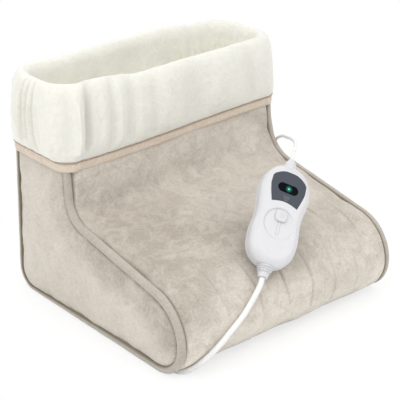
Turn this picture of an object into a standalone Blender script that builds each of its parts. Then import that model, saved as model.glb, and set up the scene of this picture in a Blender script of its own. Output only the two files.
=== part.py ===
"""Electric foot warmer: a padded two-foot boot with a turned-down fleece cuff,
a corded slide-switch controller and a coiled mains cord.

Metres, +Z up. X runs side to side, -Y is the toe, the origin is on the floor
under the middle of the boot.
"""

from math import atan2, cos, degrees, exp, pi, radians, sin, sqrt, tan

import bmesh
import bpy
from mathutils import Matrix, Vector

MM = 0.001

# Clearances
SEAM_GAP = 0.3 * MM
SLIDE_GAP = 0.4 * MM
OVERRUN = 2.0 * MM

# Boot, outer faces
BOOT_WIDTH = 310 * MM
SHELL_TOP = 248 * MM
NECK_FRONT = 47 * MM
NECK_REAR = 137 * MM
ANKLE_Y = 39.5 * MM
ANKLE_Z = 122 * MM
TOE_Y = -148.5 * MM
TOE_CORNER_Z = 84.6 * MM
HEEL_Y = 148 * MM
ANKLE_RADIUS = 28 * MM
TOE_CROWN_RADIUS = 52 * MM
TOE_FOOT_RADIUS = 42 * MM
HEEL_RADIUS = 25 * MM

# Fabric layers
PANEL_THICK = 5 * MM
SOLE_THICK = 10 * MM
LINING_THICK = 8 * MM
LINING_FLOOR_THICK = 8.2 * MM
LINING_TOP = 200 * MM
BINDING_WIDTH = 13 * MM
BINDING_DROP = 6 * MM
BINDING_SWELL = 0.8 * MM
FRONT_CROWN = 6 * MM
HEEL_CROWN = 3 * MM
SIDE_CROWN = 6 * MM
CROWN_TOP = 170 * MM
CREASE_DEPTH = 1.8 * MM
CREASE_WIDTH = 9 * MM

# Cuff and its trim
CUFF_ROLL = 13.7 * MM
CUFF_THICK = 7.5 * MM
CUFF_STAND_OFF = 1.6 * MM
CUFF_CORNER = 20 * MM
CUFF_FOLD = 3 * MM
TRIM_BOTTOM = 174.5 * MM
TRIM_HEIGHT = 11.5 * MM
TRIM_SWELL = 1.4 * MM

# Heating insert in the sole
PAD_WIDTH = 238 * MM
PAD_FRONT = -94 * MM
PAD_REAR = 108 * MM
PAD_THICK = 2 * MM
WIRE_DIAMETER = 1.8 * MM
WIRE_RUNS = 9
FUSE_DIAMETER = 3.2 * MM
FUSE_LENGTH = 12 * MM

# Lead gland on the right side panel
GLAND_Y = 92 * MM
GLAND_Z = 60 * MM
GLAND_SLEEVE_RADIUS = 4.2 * MM
GLAND_FLANGE_RADIUS = 9 * MM
GLAND_FLANGE_THICK = 2.5 * MM
GLAND_SPOUT = 14 * MM

# Cords
LEAD_DIAMETER = 3.5 * MM
CORD_DIAMETER = 6 * MM
CORD_LIFT = 0.1 * MM
GROOVE_CLEARANCE = 0.6 * MM
COIL_X = 25 * MM
COIL_Y = 214 * MM
COIL_MEAN_DIAMETER = 66 * MM
COIL_PITCH = 6.6 * MM
COIL_LAYER_STEP = 6.7 * MM
COIL_TURNS_IN = 3
COIL_TURNS_OUT = 2.5
COIL_POINTS_PER_TURN = 24
COIL_REVERSE_SHARE = 0.3
TAIL_LENGTH = 64 * MM

# Controller body
BODY_LENGTH = 118 * MM
BODY_WIDTH_TOP = 57 * MM
BODY_WIDTH_WAIST = 51 * MM
BODY_WIDTH_LOW = 54.5 * MM
BODY_THICK = 25 * MM
BODY_EDGE = 5 * MM
WALL = 2.2 * MM
FACE_WALL = 3 * MM
PARTING_GAP = 0.3 * MM

# Controller fascia, window and light
FASCIA_TOP_MARGIN = 9 * MM
FASCIA_DISH_MARGIN = 4 * MM
FASCIA_WIDTH = 41.5 * MM
FASCIA_BOTTOM_WIDTH = 31 * MM
FASCIA_THICK = 1.0 * MM
FASCIA_PROUD = 0.3 * MM
WINDOW_LENGTH = 25 * MM
WINDOW_HEIGHT = 11.2 * MM
WINDOW_DROP = 20 * MM
LED_DIAMETER = 5 * MM

# Controller slide switch
DISH_RADIUS = 18 * MM
DISH_DEPTH = 1.4 * MM
DISH_Y = -12 * MM
KNOB_WIDTH = 13.4 * MM
KNOB_HEIGHT = 13.5 * MM
KNOB_RISE = 4 * MM
KNOB_Y = -2.7 * MM
KNOB_TRAVEL = 12 * MM
STEM_WIDTH = 2.6 * MM
STEM_LENGTH = 4 * MM
SWITCH_WIDTH = 9 * MM
SWITCH_HEIGHT = 4.2 * MM

# Controller circuit board, posts and screws
BOARD_END_ROOM = 13 * MM
BOARD_SIDE_ROOM = 1.3 * MM
BOARD_THICK = 1.6 * MM
BOARD_BOTTOM = 1.0 * MM
POST_RADIUS = 3.2 * MM
POST_SIDE_ROOM = 8 * MM
POST_END_ROOM = 21 * MM
SCREW_RADIUS = 1.2 * MM
SCREW_HEAD_RADIUS = 2.5 * MM
SCREW_HEAD_HEIGHT = 1.8 * MM
SCREW_DEPTH = 5 * MM
RIB_THICK = 2 * MM

# Strain reliefs on the controller
TOP_RELIEF_LENGTH = 12 * MM
TOP_RELIEF_BASE = 7.4 * MM
TOP_RELIEF_TIP = 2.8 * MM
LOW_RELIEF_LENGTH = 12 * MM
LOW_RELIEF_BASE = 9 * MM
LOW_RELIEF_TIP = 5.2 * MM
LOW_RELIEF_GROOVE = 0.9 * MM
RELIEF_RIBS = 3
RELIEF_NECK_SHARE = 0.62
RELIEF_FLANGE = 1.6 * MM
RELIEF_TAIL = 8 * MM

# Controller pose
CONTROLLER_AT = (2.7 * MM, -118.4 * MM, 132 * MM)
CONTROLLER_UP = (0.670, 0.412, 0.618)
CONTROLLER_FACE = (-0.160, -0.725, 0.670)

# Plug, two round pins
PLUG_WIDTH = 26 * MM
PLUG_LENGTH = 34 * MM
PLUG_THICK = 13.5 * MM
PLUG_EDGE = 3 * MM
PIN_DIAMETER = 4 * MM
PIN_LENGTH = 19 * MM
PIN_SPACING = 18.6 * MM
PLUG_RELIEF_LENGTH = 22 * MM
PLUG_RELIEF_BASE = 5.2 * MM
PLUG_RELIEF_TIP = 3.9 * MM

# Faceting
ANKLE_STEPS = 5
CROWN_STEPS = 7
FOOT_STEPS = 6
HEEL_STEPS = 5
PANEL_SMOOTH_ANGLE = 40
CUFF_SMOOTH_ANGLE = 50
TOE_SEAM_SHARE = 0.69
HEEL_SEAM_SHARE = 0.39

HALF_WIDTH = BOOT_WIDTH / 2
HALF_BODY = BODY_THICK / 2
CORD_RADIUS = CORD_DIAMETER / 2
LEAD_RADIUS = LEAD_DIAMETER / 2
CUFF_TOP = SHELL_TOP + SEAM_GAP + CUFF_ROLL
TRIM_TOP = TRIM_BOTTOM + TRIM_HEIGHT
FASCIA_TOP = BODY_LENGTH / 2 - FASCIA_TOP_MARGIN
FASCIA_BOTTOM = DISH_Y + DISH_RADIUS + FASCIA_DISH_MARGIN
WINDOW_Y = FASCIA_TOP - WINDOW_DROP
POST_X = BODY_WIDTH_WAIST / 2 - POST_SIDE_ROOM
POST_Y = BODY_LENGTH / 2 - POST_END_ROOM
BOARD_WIDTH = 2 * (POST_X - POST_RADIUS - BOARD_SIDE_ROOM)
BOARD_LENGTH = BODY_LENGTH - 2 * BOARD_END_ROOM
PANEL_HALF = HALF_WIDTH - BINDING_WIDTH - SEAM_GAP
SIDE_FACE = HALF_WIDTH + SIDE_CROWN

# Route of the heating lead: controller top, over the right seam, down beside
# the right panel to the floor and back up to the gland
LEAD_ROUTE = [
    (64.8 * MM, -79 * MM, 182.9 * MM),
    (76 * MM, -68 * MM, 181.3 * MM),
    (89.7 * MM, -52 * MM, 176.6 * MM),
    (104.6 * MM, -32 * MM, 169.2 * MM),
    (119.1 * MM, -10 * MM, 160.7 * MM),
    (132.5 * MM, 8 * MM, 152.9 * MM),
    (146.5 * MM, 25 * MM, 144.5 * MM),
    (157.5 * MM, 42 * MM, 135.2 * MM),
    (163 * MM, 51.5 * MM, 129.2 * MM),
    (167 * MM, 60 * MM, 119 * MM),
    (169.5 * MM, 65 * MM, 98 * MM),
    (171 * MM, 67 * MM, 68 * MM),
    (173 * MM, 68 * MM, 38 * MM),
    (178 * MM, 71 * MM, 11 * MM),
    (188 * MM, 82 * MM, 3.2 * MM),
    (197 * MM, 93 * MM, 14 * MM),
    (199 * MM, 95 * MM, 38 * MM),
    (190 * MM, 93 * MM, 56 * MM),
]

# Route of the mains cord: down the toe front, under the boot beside the left
# edge and out behind the heel
CORD_ROUTE = [
    (-63.8 * MM, -153.5 * MM, 70.4 * MM),
    (-79 * MM, -156.5 * MM, 59.3 * MM),
    (-95.3 * MM, -158 * MM, 49.5 * MM),
    (-107.8 * MM, -157.5 * MM, 39.9 * MM),
    (-117.2 * MM, -154 * MM, 30 * MM),
    (-124 * MM, -149 * MM, 21.5 * MM),
    (-129.6 * MM, -143 * MM, 13.5 * MM),
    (-134.8 * MM, -136.8 * MM, 7.6 * MM),
    (-139.4 * MM, -129.5 * MM, 4 * MM),
    (-142.6 * MM, -120 * MM, 3.1 * MM),
    (-143.8 * MM, -108 * MM, 3.1 * MM),
    (-143.4 * MM, -92 * MM, 3.1 * MM),
    (-141.5 * MM, -60 * MM, 3.1 * MM),
    (-139.8 * MM, -20 * MM, 3.1 * MM),
    (-139.5 * MM, 60 * MM, 3.1 * MM),
    (-139.2 * MM, 120 * MM, 3.1 * MM),
    (-134 * MM, 147 * MM, 3.1 * MM),
    (-115 * MM, 167 * MM, 3.1 * MM),
    (-88 * MM, 175 * MM, 3.1 * MM),
    (-50 * MM, 174 * MM, 3.1 * MM),
    (-10 * MM, 172 * MM, 3.1 * MM),
]


def clear_scene():
    for item in list(bpy.data.objects):
        bpy.data.objects.remove(item, do_unlink=True)


def make_collection(name):
    collection = bpy.data.collections.new(name)
    bpy.context.scene.collection.children.link(collection)
    return collection


def make_material(name, colour, roughness, metallic=0.0):
    material = bpy.data.materials.new(name)
    material.use_nodes = True
    shader = material.node_tree.nodes["Principled BSDF"]
    shader.inputs["Base Color"].default_value = (*colour, 1.0)
    shader.inputs["Roughness"].default_value = roughness
    shader.inputs["Metallic"].default_value = metallic
    return material


class Workshop:
    """Collections and materials that every piece shares."""

    def __init__(self):
        self.parts = make_collection("foot_warmer")
        self.cutters = make_collection("foot_warmer_cutters")
        self.velour = make_material("beige_velour", (0.60, 0.55, 0.47), 0.95)
        self.side_velour = make_material("light_velour", (0.67, 0.62, 0.55), 0.95)
        self.binding = make_material("binding_tape", (0.42, 0.37, 0.30), 0.85)
        self.fleece = make_material("ivory_fleece", (0.83, 0.81, 0.72), 1.0)
        self.trim = make_material("trim_tape", (0.62, 0.50, 0.41), 0.8)
        self.sole = make_material("sole_cloth", (0.38, 0.35, 0.31), 0.9)
        self.carrier = make_material("heater_felt", (0.75, 0.74, 0.70), 1.0)
        self.wire = make_material("heater_wire", (0.55, 0.12, 0.08), 0.5)
        self.steel = make_material("steel", (0.60, 0.60, 0.60), 0.35, 1.0)
        self.white = make_material("white_plastic", (0.79, 0.79, 0.81), 0.4)
        self.grey = make_material("grey_plastic", (0.12, 0.12, 0.15), 0.35)
        self.window = make_material("window_plastic", (0.01, 0.015, 0.02), 0.15)
        self.glow = make_material("green_light", (0.10, 0.60, 0.40), 0.3)
        self.board = make_material("circuit_board", (0.05, 0.22, 0.10), 0.6)
        self.black = make_material("black_plastic", (0.03, 0.03, 0.03), 0.5)
        self.cord = make_material("white_cord", (0.85, 0.85, 0.83), 0.5)
        self.brass = make_material("nickel_pin", (0.75, 0.72, 0.65), 0.3, 1.0)

    def add(self, name, mesh, material, smooth_angle=30):
        item = bpy.data.objects.new(name, mesh)
        self.parts.objects.link(item)
        mesh.materials.clear()
        mesh.materials.append(material)
        mesh.shade_smooth()
        mesh.set_sharp_from_angle(angle=radians(smooth_angle))
        return item

    def add_cutter(self, name, mesh):
        item = bpy.data.objects.new(name, mesh)
        self.cutters.objects.link(item)
        item.hide_render = True
        item.display_type = "WIRE"
        return item


def mesh_from(bm, name):
    bmesh.ops.recalc_face_normals(bm, faces=bm.faces[:])
    mesh = bpy.data.meshes.new(name)
    bm.to_mesh(mesh)
    bm.free()
    return mesh


def loft(name, rings, closed=False):
    """Skin unlike closed outlines, one point for one point, capped at both ends
    or joined end to end."""
    bm = bmesh.new()
    loops = [[bm.verts.new(point) for point in ring] for ring in rings]
    pairs = list(zip(loops, loops[1:]))
    if closed:
        pairs.append((loops[-1], loops[0]))
    for near, far in pairs:
        for index in range(len(near)):
            after = (index + 1) % len(near)
            bm.faces.new((near[index], near[after], far[after], far[index]))
    if not closed:
        bm.faces.new(loops[0])
        bm.faces.new(loops[-1])
    return mesh_from(bm, name)


def box(name, low, high):
    bm = bmesh.new()
    size = [b - a for a, b in zip(low, high)]
    middle = [(a + b) / 2 for a, b in zip(low, high)]
    matrix = Matrix.Translation(middle) @ Matrix.Diagonal((*size, 1.0))
    bmesh.ops.create_cube(bm, size=1.0, matrix=matrix)
    return mesh_from(bm, name)


def cylinder(name, start, end, radius, end_radius=None, segments=24):
    bm = bmesh.new()
    start, end = Vector(start), Vector(end)
    turn = (end - start).to_track_quat("Z", "Y").to_matrix().to_4x4()
    matrix = Matrix.Translation((start + end) / 2) @ turn
    bmesh.ops.create_cone(
        bm,
        cap_ends=True,
        segments=segments,
        radius1=radius,
        radius2=radius if end_radius is None else end_radius,
        depth=(end - start).length,
        matrix=matrix,
    )
    return mesh_from(bm, name)


def boolean(item, operation, other):
    modifier = item.modifiers.new(f"{operation.lower()}_{other.name}", "BOOLEAN")
    modifier.operation = operation
    modifier.object = other
    modifier.solver = "EXACT"
    return modifier


def smoothstep(value, low, high):
    share = min(max((value - low) / (high - low), 0.0), 1.0)
    return share * share * (3 - 2 * share)


def evaluated_mesh(item):
    """The object's mesh with its modifiers, caps welded, in its own space."""
    bpy.context.view_layer.update()
    depsgraph = bpy.context.evaluated_depsgraph_get()
    mesh = bpy.data.meshes.new_from_object(item.evaluated_get(depsgraph), depsgraph=depsgraph)
    bm = bmesh.new()
    bm.from_mesh(mesh)
    bmesh.ops.remove_doubles(bm, verts=bm.verts[:], dist=SEAM_GAP / 100)
    bm.to_mesh(mesh)
    bm.free()
    return mesh


# Boot side profile, as (y, z) corners with fillet radii


def line_shift(start, end, inset):
    """A line of the profile moved towards the inside, which lies on its left."""
    direction = (Vector(end) - Vector(start)).normalized()
    inward = Vector((-direction.y, direction.x))
    return Vector(start) + inward * inset, direction


def cross_point(first, second):
    (p, d), (q, e) = first, second
    step = (q - p).cross(e) / d.cross(e)
    return p + d * step


def profile_corners(inset, floor_inset=None):
    """Neck top, ankle, toe crown, toe foot, heel and rear top, moved inwards."""
    floor_inset = inset if floor_inset is None else floor_inset
    corners = [
        (NECK_FRONT, SHELL_TOP),
        (ANKLE_Y, ANKLE_Z),
        (TOE_Y, TOE_CORNER_Z),
        (TOE_Y, 0),
        (HEEL_Y, 0),
        (NECK_REAR, SHELL_TOP),
    ]
    insets = [inset, inset, inset, floor_inset, inset]
    lines = [line_shift(a, b, d) for a, b, d in zip(corners, corners[1:], insets)]
    inner = [cross_point(a, b) for a, b in zip(lines, lines[1:])]
    joint = (inset + floor_inset) / 2
    radii = [
        ANKLE_RADIUS + inset,
        max(TOE_CROWN_RADIUS - inset, MM),
        max(TOE_FOOT_RADIUS - joint, MM),
        max(HEEL_RADIUS - joint, MM),
    ]
    return lines, inner, radii


def height_on(line, height):
    start, direction = line
    return start + direction * ((height - start.y) / direction.y)


def fillet(before, corner, after, radius, steps, first=0.0, last=1.0):
    """Points on the arc that rounds a corner, from one share of it to another."""
    back = (before - corner).normalized()
    ahead = (after - corner).normalized()
    half = back.angle(ahead) / 2
    reach = radius / tan(half)
    start = corner + back * reach
    centre = corner + (back + ahead).normalized() * (radius / sin(half))
    turn = pi - 2 * half
    sign = 1 if (-back).cross(ahead) > 0 else -1
    spoke = start - centre
    points = []
    for index in range(steps + 1):
        angle = sign * turn * (first + (last - first) * index / steps)
        turned = (
            spoke.x * cos(angle) - spoke.y * sin(angle),
            spoke.x * sin(angle) + spoke.y * cos(angle),
        )
        points.append(centre + Vector(turned))
    return points


def spread(start, end, count):
    """Points between two places, without the places themselves."""
    return [start.lerp(end, (index + 1) / (count + 1)) for index in range(count)]


def front_line(inset, foot_share=1.0, foot_steps=FOOT_STEPS, top=SHELL_TOP, fill=0, floor_inset=None):
    """Neck front down to the toe foot, from the top to a share of the foot arc."""
    lines, inner, radii = profile_corners(inset, floor_inset)
    ankle, crown, foot, heel = inner
    head = height_on(lines[0], top)
    ankle_arc = fillet(head, ankle, crown, radii[0], ANKLE_STEPS)
    crown_arc = fillet(ankle, crown, foot, radii[1], CROWN_STEPS)
    foot_arc = fillet(crown, foot, heel, radii[2], foot_steps, 0.0, foot_share)
    points = [head]
    if fill and top > CROWN_TOP:
        points.append(height_on(lines[0], CROWN_TOP))
        points += spread(points[-1], ankle_arc[0], 1)
    points += ankle_arc
    points += spread(ankle_arc[-1], crown_arc[0], fill)
    points += crown_arc
    start = 1 if (foot_arc[0] - crown_arc[-1]).length < MM else 0
    return points + foot_arc[start:]


def heel_line(inset, heel_share=0.0, heel_steps=HEEL_STEPS, top=SHELL_TOP, fill=0, floor_inset=None):
    """Heel arc from a share of it, then up the rear to the top."""
    lines, inner, radii = profile_corners(inset, floor_inset)
    foot, heel = inner[2], inner[3]
    head = height_on(lines[4], top)
    arc = fillet(foot, heel, head, radii[3], heel_steps, heel_share, 1.0)
    points = list(arc)
    if fill:
        ridge = height_on(lines[4], CROWN_TOP)
        points += spread(arc[-1], ridge, fill) + [ridge]
    return points + [head]


def boot_line(inset, top=SHELL_TOP, floor_inset=None):
    """The whole open outline, from the neck front round the sole to the rear."""
    front = front_line(inset, top=top, floor_inset=floor_inset)
    return front + heel_line(inset, top=top, floor_inset=floor_inset)


def arc_gap_share(radius, turn):
    return SEAM_GAP / (radius * turn)


def at_x(points, x):
    return [Vector((x, point.x, point.y)) for point in points]


def path_shares(points):
    lengths = [0.0]
    for a, b in zip(points, points[1:]):
        lengths.append(lengths[-1] + (b - a).length)
    return [length / lengths[-1] for length in lengths]


# Shares of the front panel's half width where the toe's soft creases lie
CREASE_SHARES = (-0.34, -0.06, 0.22, 0.48)


def crease_at(x_share):
    width_share = CREASE_WIDTH / PANEL_HALF
    return sum(exp(-(((x_share - place) / width_share) ** 2)) for place in CREASE_SHARES)


def front_swell(x_share, path_share):
    across = 1 - abs(x_share) ** 3
    rise = smoothstep(path_share, 0.22, 0.52)
    fall = 1 - 0.75 * smoothstep(path_share, 0.86, 1.0)
    crease = crease_at(x_share) * smoothstep(path_share, 0.6, 0.75)
    return across * (FRONT_CROWN * rise * fall - CREASE_DEPTH * crease)


def heel_swell(x_share, path_share):
    across = 1 - abs(x_share) ** 3
    rise = smoothstep(path_share, 0.0, 0.25)
    fall = 1 - smoothstep(path_share, 0.45, 0.66)
    return HEEL_CROWN * across * rise * fall


def padded_strip(name, outer, inner, stations, swell):
    """A panel across the boot whose outer face swells between its seams."""
    shares = path_shares(outer)
    outward = [(a - b).normalized() for a, b in zip(outer, inner)]
    rings = []
    for x_share in stations:
        face = [p + n * swell(x_share, s) for p, n, s in zip(outer, outward, shares)]
        rings.append(at_x(face + inner[::-1], x_share * PANEL_HALF))
    return loft(name, rings)


def front_stations():
    flank_share = 0.9 * CREASE_WIDTH / PANEL_HALF
    shares = {-1.0, -0.88, -0.62, -0.2, 0.08, 0.35, 0.7, 0.88, 1.0}
    for place in CREASE_SHARES:
        shares.update((place - flank_share, place, place + flank_share))
    return sorted(shares)


def add_front_panel(shop, groove):
    ends = dict(foot_share=TOE_SEAM_SHARE, foot_steps=4, fill=4)
    outer = front_line(0.0, **ends)
    inner = front_line(PANEL_THICK, **ends)
    mesh = padded_strip("front_panel", outer, inner, front_stations(), front_swell)
    panel = shop.add("front_panel", mesh, shop.velour, PANEL_SMOOTH_ANGLE)
    boolean(panel, "DIFFERENCE", groove)


def add_heel_panel(shop, groove):
    share = HEEL_SEAM_SHARE + arc_gap_share(HEEL_RADIUS, pi / 2)
    ends = dict(heel_share=share, heel_steps=3, fill=3)
    outer = heel_line(0.0, **ends)
    inner = heel_line(PANEL_THICK, **ends)
    stations = [-1.0, -0.85, -0.6, -0.3, 0.0, 0.3, 0.6, 0.85, 1.0]
    mesh = padded_strip("heel_panel", outer, inner, stations, heel_swell)
    panel = shop.add("heel_panel", mesh, shop.velour, PANEL_SMOOTH_ANGLE)
    boolean(panel, "DIFFERENCE", groove)


def add_sole_panel(shop, groove):
    lines, inner, radii = profile_corners(0.0)
    crown, foot, heel = inner[1:]
    head = height_on(lines[4], SHELL_TOP)
    toe_share = TOE_SEAM_SHARE + arc_gap_share(TOE_FOOT_RADIUS, pi / 2)
    toe_arc = fillet(crown, foot, heel, radii[2], 3, toe_share, 1.0)
    heel_arc = fillet(foot, heel, head, radii[3], 3, 0.0, HEEL_SEAM_SHARE)
    lines, inner, radii = profile_corners(PANEL_THICK)
    crown, foot, heel = inner[1:]
    head = height_on(lines[4], SHELL_TOP)
    toe_in = fillet(crown, foot, heel, radii[2], 1, toe_share, 1.0)[0]
    heel_in = fillet(foot, heel, head, radii[3], 1, 0.0, HEEL_SEAM_SHARE)[-1]
    toe_top = Vector((toe_in.x + SOLE_THICK - toe_in.y, SOLE_THICK))
    heel_top = Vector((heel_in.x - SOLE_THICK + heel_in.y, SOLE_THICK))
    outline = toe_arc + heel_arc + [heel_in, heel_top, toe_top, toe_in]
    mesh = loft("sole_panel", [at_x(outline, -PANEL_HALF), at_x(outline, PANEL_HALF)])
    panel = shop.add("sole_panel", mesh, shop.sole)
    boolean(panel, "DIFFERENCE", groove)


# Rings of a side panel's crown: inset in millimetres, share of the crown, and
# how far the ring's top lies below the top of the crown
SIDE_RINGS = (
    (8 * MM, 0.0, 0 * MM),
    (12 * MM, 0.45, 5 * MM),
    (18 * MM, 0.75, 12 * MM),
    (26 * MM, 0.93, 20 * MM),
    (34 * MM, 1.0, 28 * MM),
)


def side_panel_mesh(name, side):
    seam = BINDING_DROP + SEAM_GAP
    edge = boot_line(seam)
    rings = [at_x(edge, side * (HALF_WIDTH - PANEL_THICK)), at_x(edge, side * HALF_WIDTH)]
    for inset, crown_share, drop in SIDE_RINGS:
        line = boot_line(inset, top=CROWN_TOP - drop)
        rings.append(at_x(line, side * (HALF_WIDTH + SIDE_CROWN * crown_share)))
    return loft(name, rings)


def add_side_panels(shop):
    shop.add("left_side_panel", side_panel_mesh("left_side_panel", -1), shop.side_velour, 40)
    right = shop.add("right_side_panel", side_panel_mesh("right_side_panel", 1), shop.side_velour, 40)
    start = (HALF_WIDTH - PANEL_THICK - OVERRUN, GLAND_Y, GLAND_Z)
    end = (SIDE_FACE + OVERRUN, GLAND_Y, GLAND_Z)
    hole = cylinder("gland_hole", start, end, GLAND_SLEEVE_RADIUS + SEAM_GAP)
    boolean(right, "DIFFERENCE", shop.add_cutter("gland_hole", hole))


def binding_section():
    """Distance in from the side face and height over the panel, corner by corner."""
    wide, drop, swell = BINDING_WIDTH, BINDING_DROP, BINDING_SWELL
    return [
        (wide, 0.0),
        (0.78 * wide, swell),
        (0.42 * wide, -0.08 * drop),
        (0.14 * wide, -0.42 * drop),
        (0.0, -drop),
        (PANEL_THICK, -drop),
        (PANEL_THICK, -PANEL_THICK),
        (wide, -PANEL_THICK),
    ]


def add_bindings(shop, groove):
    outer = boot_line(0.0)
    inner = boot_line(PANEL_THICK)
    for name, side in (("left_binding", -1), ("right_binding", 1)):
        rings = []
        for out, inward in zip(outer, inner):
            normal = (out - inward) / PANEL_THICK
            ring = []
            for depth, height in binding_section():
                lift = height if out.y > BINDING_DROP else min(height, 0.0)
                place = out + normal * lift
                ring.append(Vector((side * (HALF_WIDTH - depth), place.x, place.y)))
            rings.append(ring)
        band = shop.add(name, loft(name, rings), shop.binding, 40)
        if side < 0:
            boolean(band, "DIFFERENCE", groove)


def lining_line(inset, floor_inset, top):
    return boot_line(inset, top=top, floor_inset=floor_inset)


def heater_top():
    return SOLE_THICK + SEAM_GAP + PAD_THICK + SEAM_GAP + WIRE_DIAMETER + SEAM_GAP


def cavity_floor():
    return SOLE_THICK + SEAM_GAP + LINING_FLOOR_THICK


def add_lining(shop):
    gap = PANEL_THICK + SEAM_GAP
    half = HALF_WIDTH - gap
    outer = lining_line(gap, SOLE_THICK + SEAM_GAP, LINING_TOP)
    mesh = loft("inner_lining", [at_x(outer, -half), at_x(outer, half)])
    lining = shop.add("inner_lining", mesh, shop.fleece)
    depth = gap + LINING_THICK
    hollow = lining_line(depth, cavity_floor(), LINING_TOP + OVERRUN)
    inside = half - LINING_THICK
    cutter = loft("foot_hollow", [at_x(hollow, -inside), at_x(hollow, inside)])
    boolean(lining, "DIFFERENCE", shop.add_cutter("foot_hollow", cutter))
    low = (-PAD_WIDTH / 2 - SEAM_GAP, PAD_FRONT - SEAM_GAP, SOLE_THICK - OVERRUN)
    high = (PAD_WIDTH / 2 + SEAM_GAP, PAD_REAR + SEAM_GAP, heater_top())
    boolean(lining, "DIFFERENCE", shop.add_cutter("pad_recess", box("pad_recess", low, high)))
    x, y, z = fuse_place()
    reach = FUSE_LENGTH / 2 + SEAM_GAP
    rise = FUSE_DIAMETER / 2 + SEAM_GAP
    low = (x - reach, y - rise, SOLE_THICK)
    high = (x + reach, y + rise, z + rise)
    boolean(lining, "DIFFERENCE", shop.add_cutter("fuse_pocket", box("fuse_pocket", low, high)))


def wire_pitch():
    return (PAD_REAR - PAD_FRONT) / WIRE_RUNS


def pad_top():
    return SOLE_THICK + SEAM_GAP + PAD_THICK


def fuse_place():
    y = PAD_FRONT + wire_pitch() * (WIRE_RUNS // 2 + 1)
    return 0.0, y, pad_top() + SEAM_GAP + FUSE_DIAMETER / 2


def add_heater(shop):
    low = (-PAD_WIDTH / 2, PAD_FRONT, SOLE_THICK + SEAM_GAP)
    high = (PAD_WIDTH / 2, PAD_REAR, pad_top())
    shop.add("heating_pad", box("heating_pad", low, high), shop.carrier)
    height = pad_top() + SEAM_GAP + WIRE_DIAMETER / 2
    bend = wire_pitch() / 2
    reach = PAD_WIDTH / 2 - 2 * bend
    points = []
    for run in range(WIRE_RUNS):
        y = PAD_FRONT + bend + wire_pitch() * run
        side = 1 if run % 2 == 0 else -1
        points += [(-side * reach, y, height), (0.0, y, height), (side * reach, y, height)]
        if run < WIRE_RUNS - 1:
            for step in range(1, 5):
                angle = -pi / 2 + pi * step / 5
                points.append((side * (reach + bend * cos(angle)), y + bend + bend * sin(angle), height))
    tube(shop, "heating_wire", points, WIRE_DIAMETER, 1, shop.wire)
    x, y, z = fuse_place()
    half = FUSE_LENGTH / 2
    fuse = cylinder("thermal_fuse", (x - half, y, z), (x + half, y, z), FUSE_DIAMETER / 2, segments=12)
    shop.add("thermal_fuse", fuse, shop.steel)


# Cuff and trim, as rounded rectangles round the neck


def neck_ring(outset, height, corner, fold=None):
    """A rounded rectangle round the neck, a given distance outside its walls."""
    lines = profile_corners(0.0)[0]
    front = height_on(lines[0], height).x - outset
    rear = height_on(lines[4], height).x + outset
    half = HALF_WIDTH + outset
    middle = (front + rear) / 2
    depth = (rear - front) / 2
    straight_x, straight_y = half - corner, depth - corner
    points = []
    sides = (
        (1, -1, -pi / 2, Vector((0, 1, 0)), straight_y, 3),
        (1, 1, 0.0, Vector((-1, 0, 0)), straight_x, 9),
        (-1, 1, pi / 2, Vector((0, -1, 0)), straight_y, 3),
        (-1, -1, pi, Vector((1, 0, 0)), straight_x, 9),
    )
    for sign_x, sign_y, angle, along, run, count in sides:
        hub = Vector((sign_x * straight_x, middle + sign_y * straight_y, height))
        for step in range(5):
            turn = angle + pi / 2 * step / 4
            points.append((hub + Vector((cos(turn), sin(turn), 0)) * corner, turn))
        start, end_turn = points[-1]
        for step in range(count):
            points.append((start + along * (2 * run * (step + 1) / (count + 1)), end_turn))
    ring = []
    for index, (point, turn) in enumerate(points):
        push = fold * fold_share(index / len(points)) if fold else 0.0
        ring.append(point + Vector((cos(turn), sin(turn), 0)) * push)
    return ring


# Where the cuff's soft upright folds stand out, as shares of the way round,
# with their widths and strengths
FOLD_SHARES = (
    (0.08, 0.025, 0.8), (0.20, 0.03, 0.5), (0.33, 0.03, 0.7), (0.46, 0.025, 0.5),
    (0.56, 0.02, 1.0), (0.62, 0.018, 0.8), (0.67, 0.02, 1.0), (0.76, 0.03, 0.5),
    (0.85, 0.035, 0.6), (0.94, 0.03, 0.6),
)


def fold_share(round_share):
    total = 0.0
    for place, width, strength in FOLD_SHARES:
        away = abs(round_share - place)
        away = min(away, 1 - away)
        total += strength * exp(-((away / width) ** 2))
    return total


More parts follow.
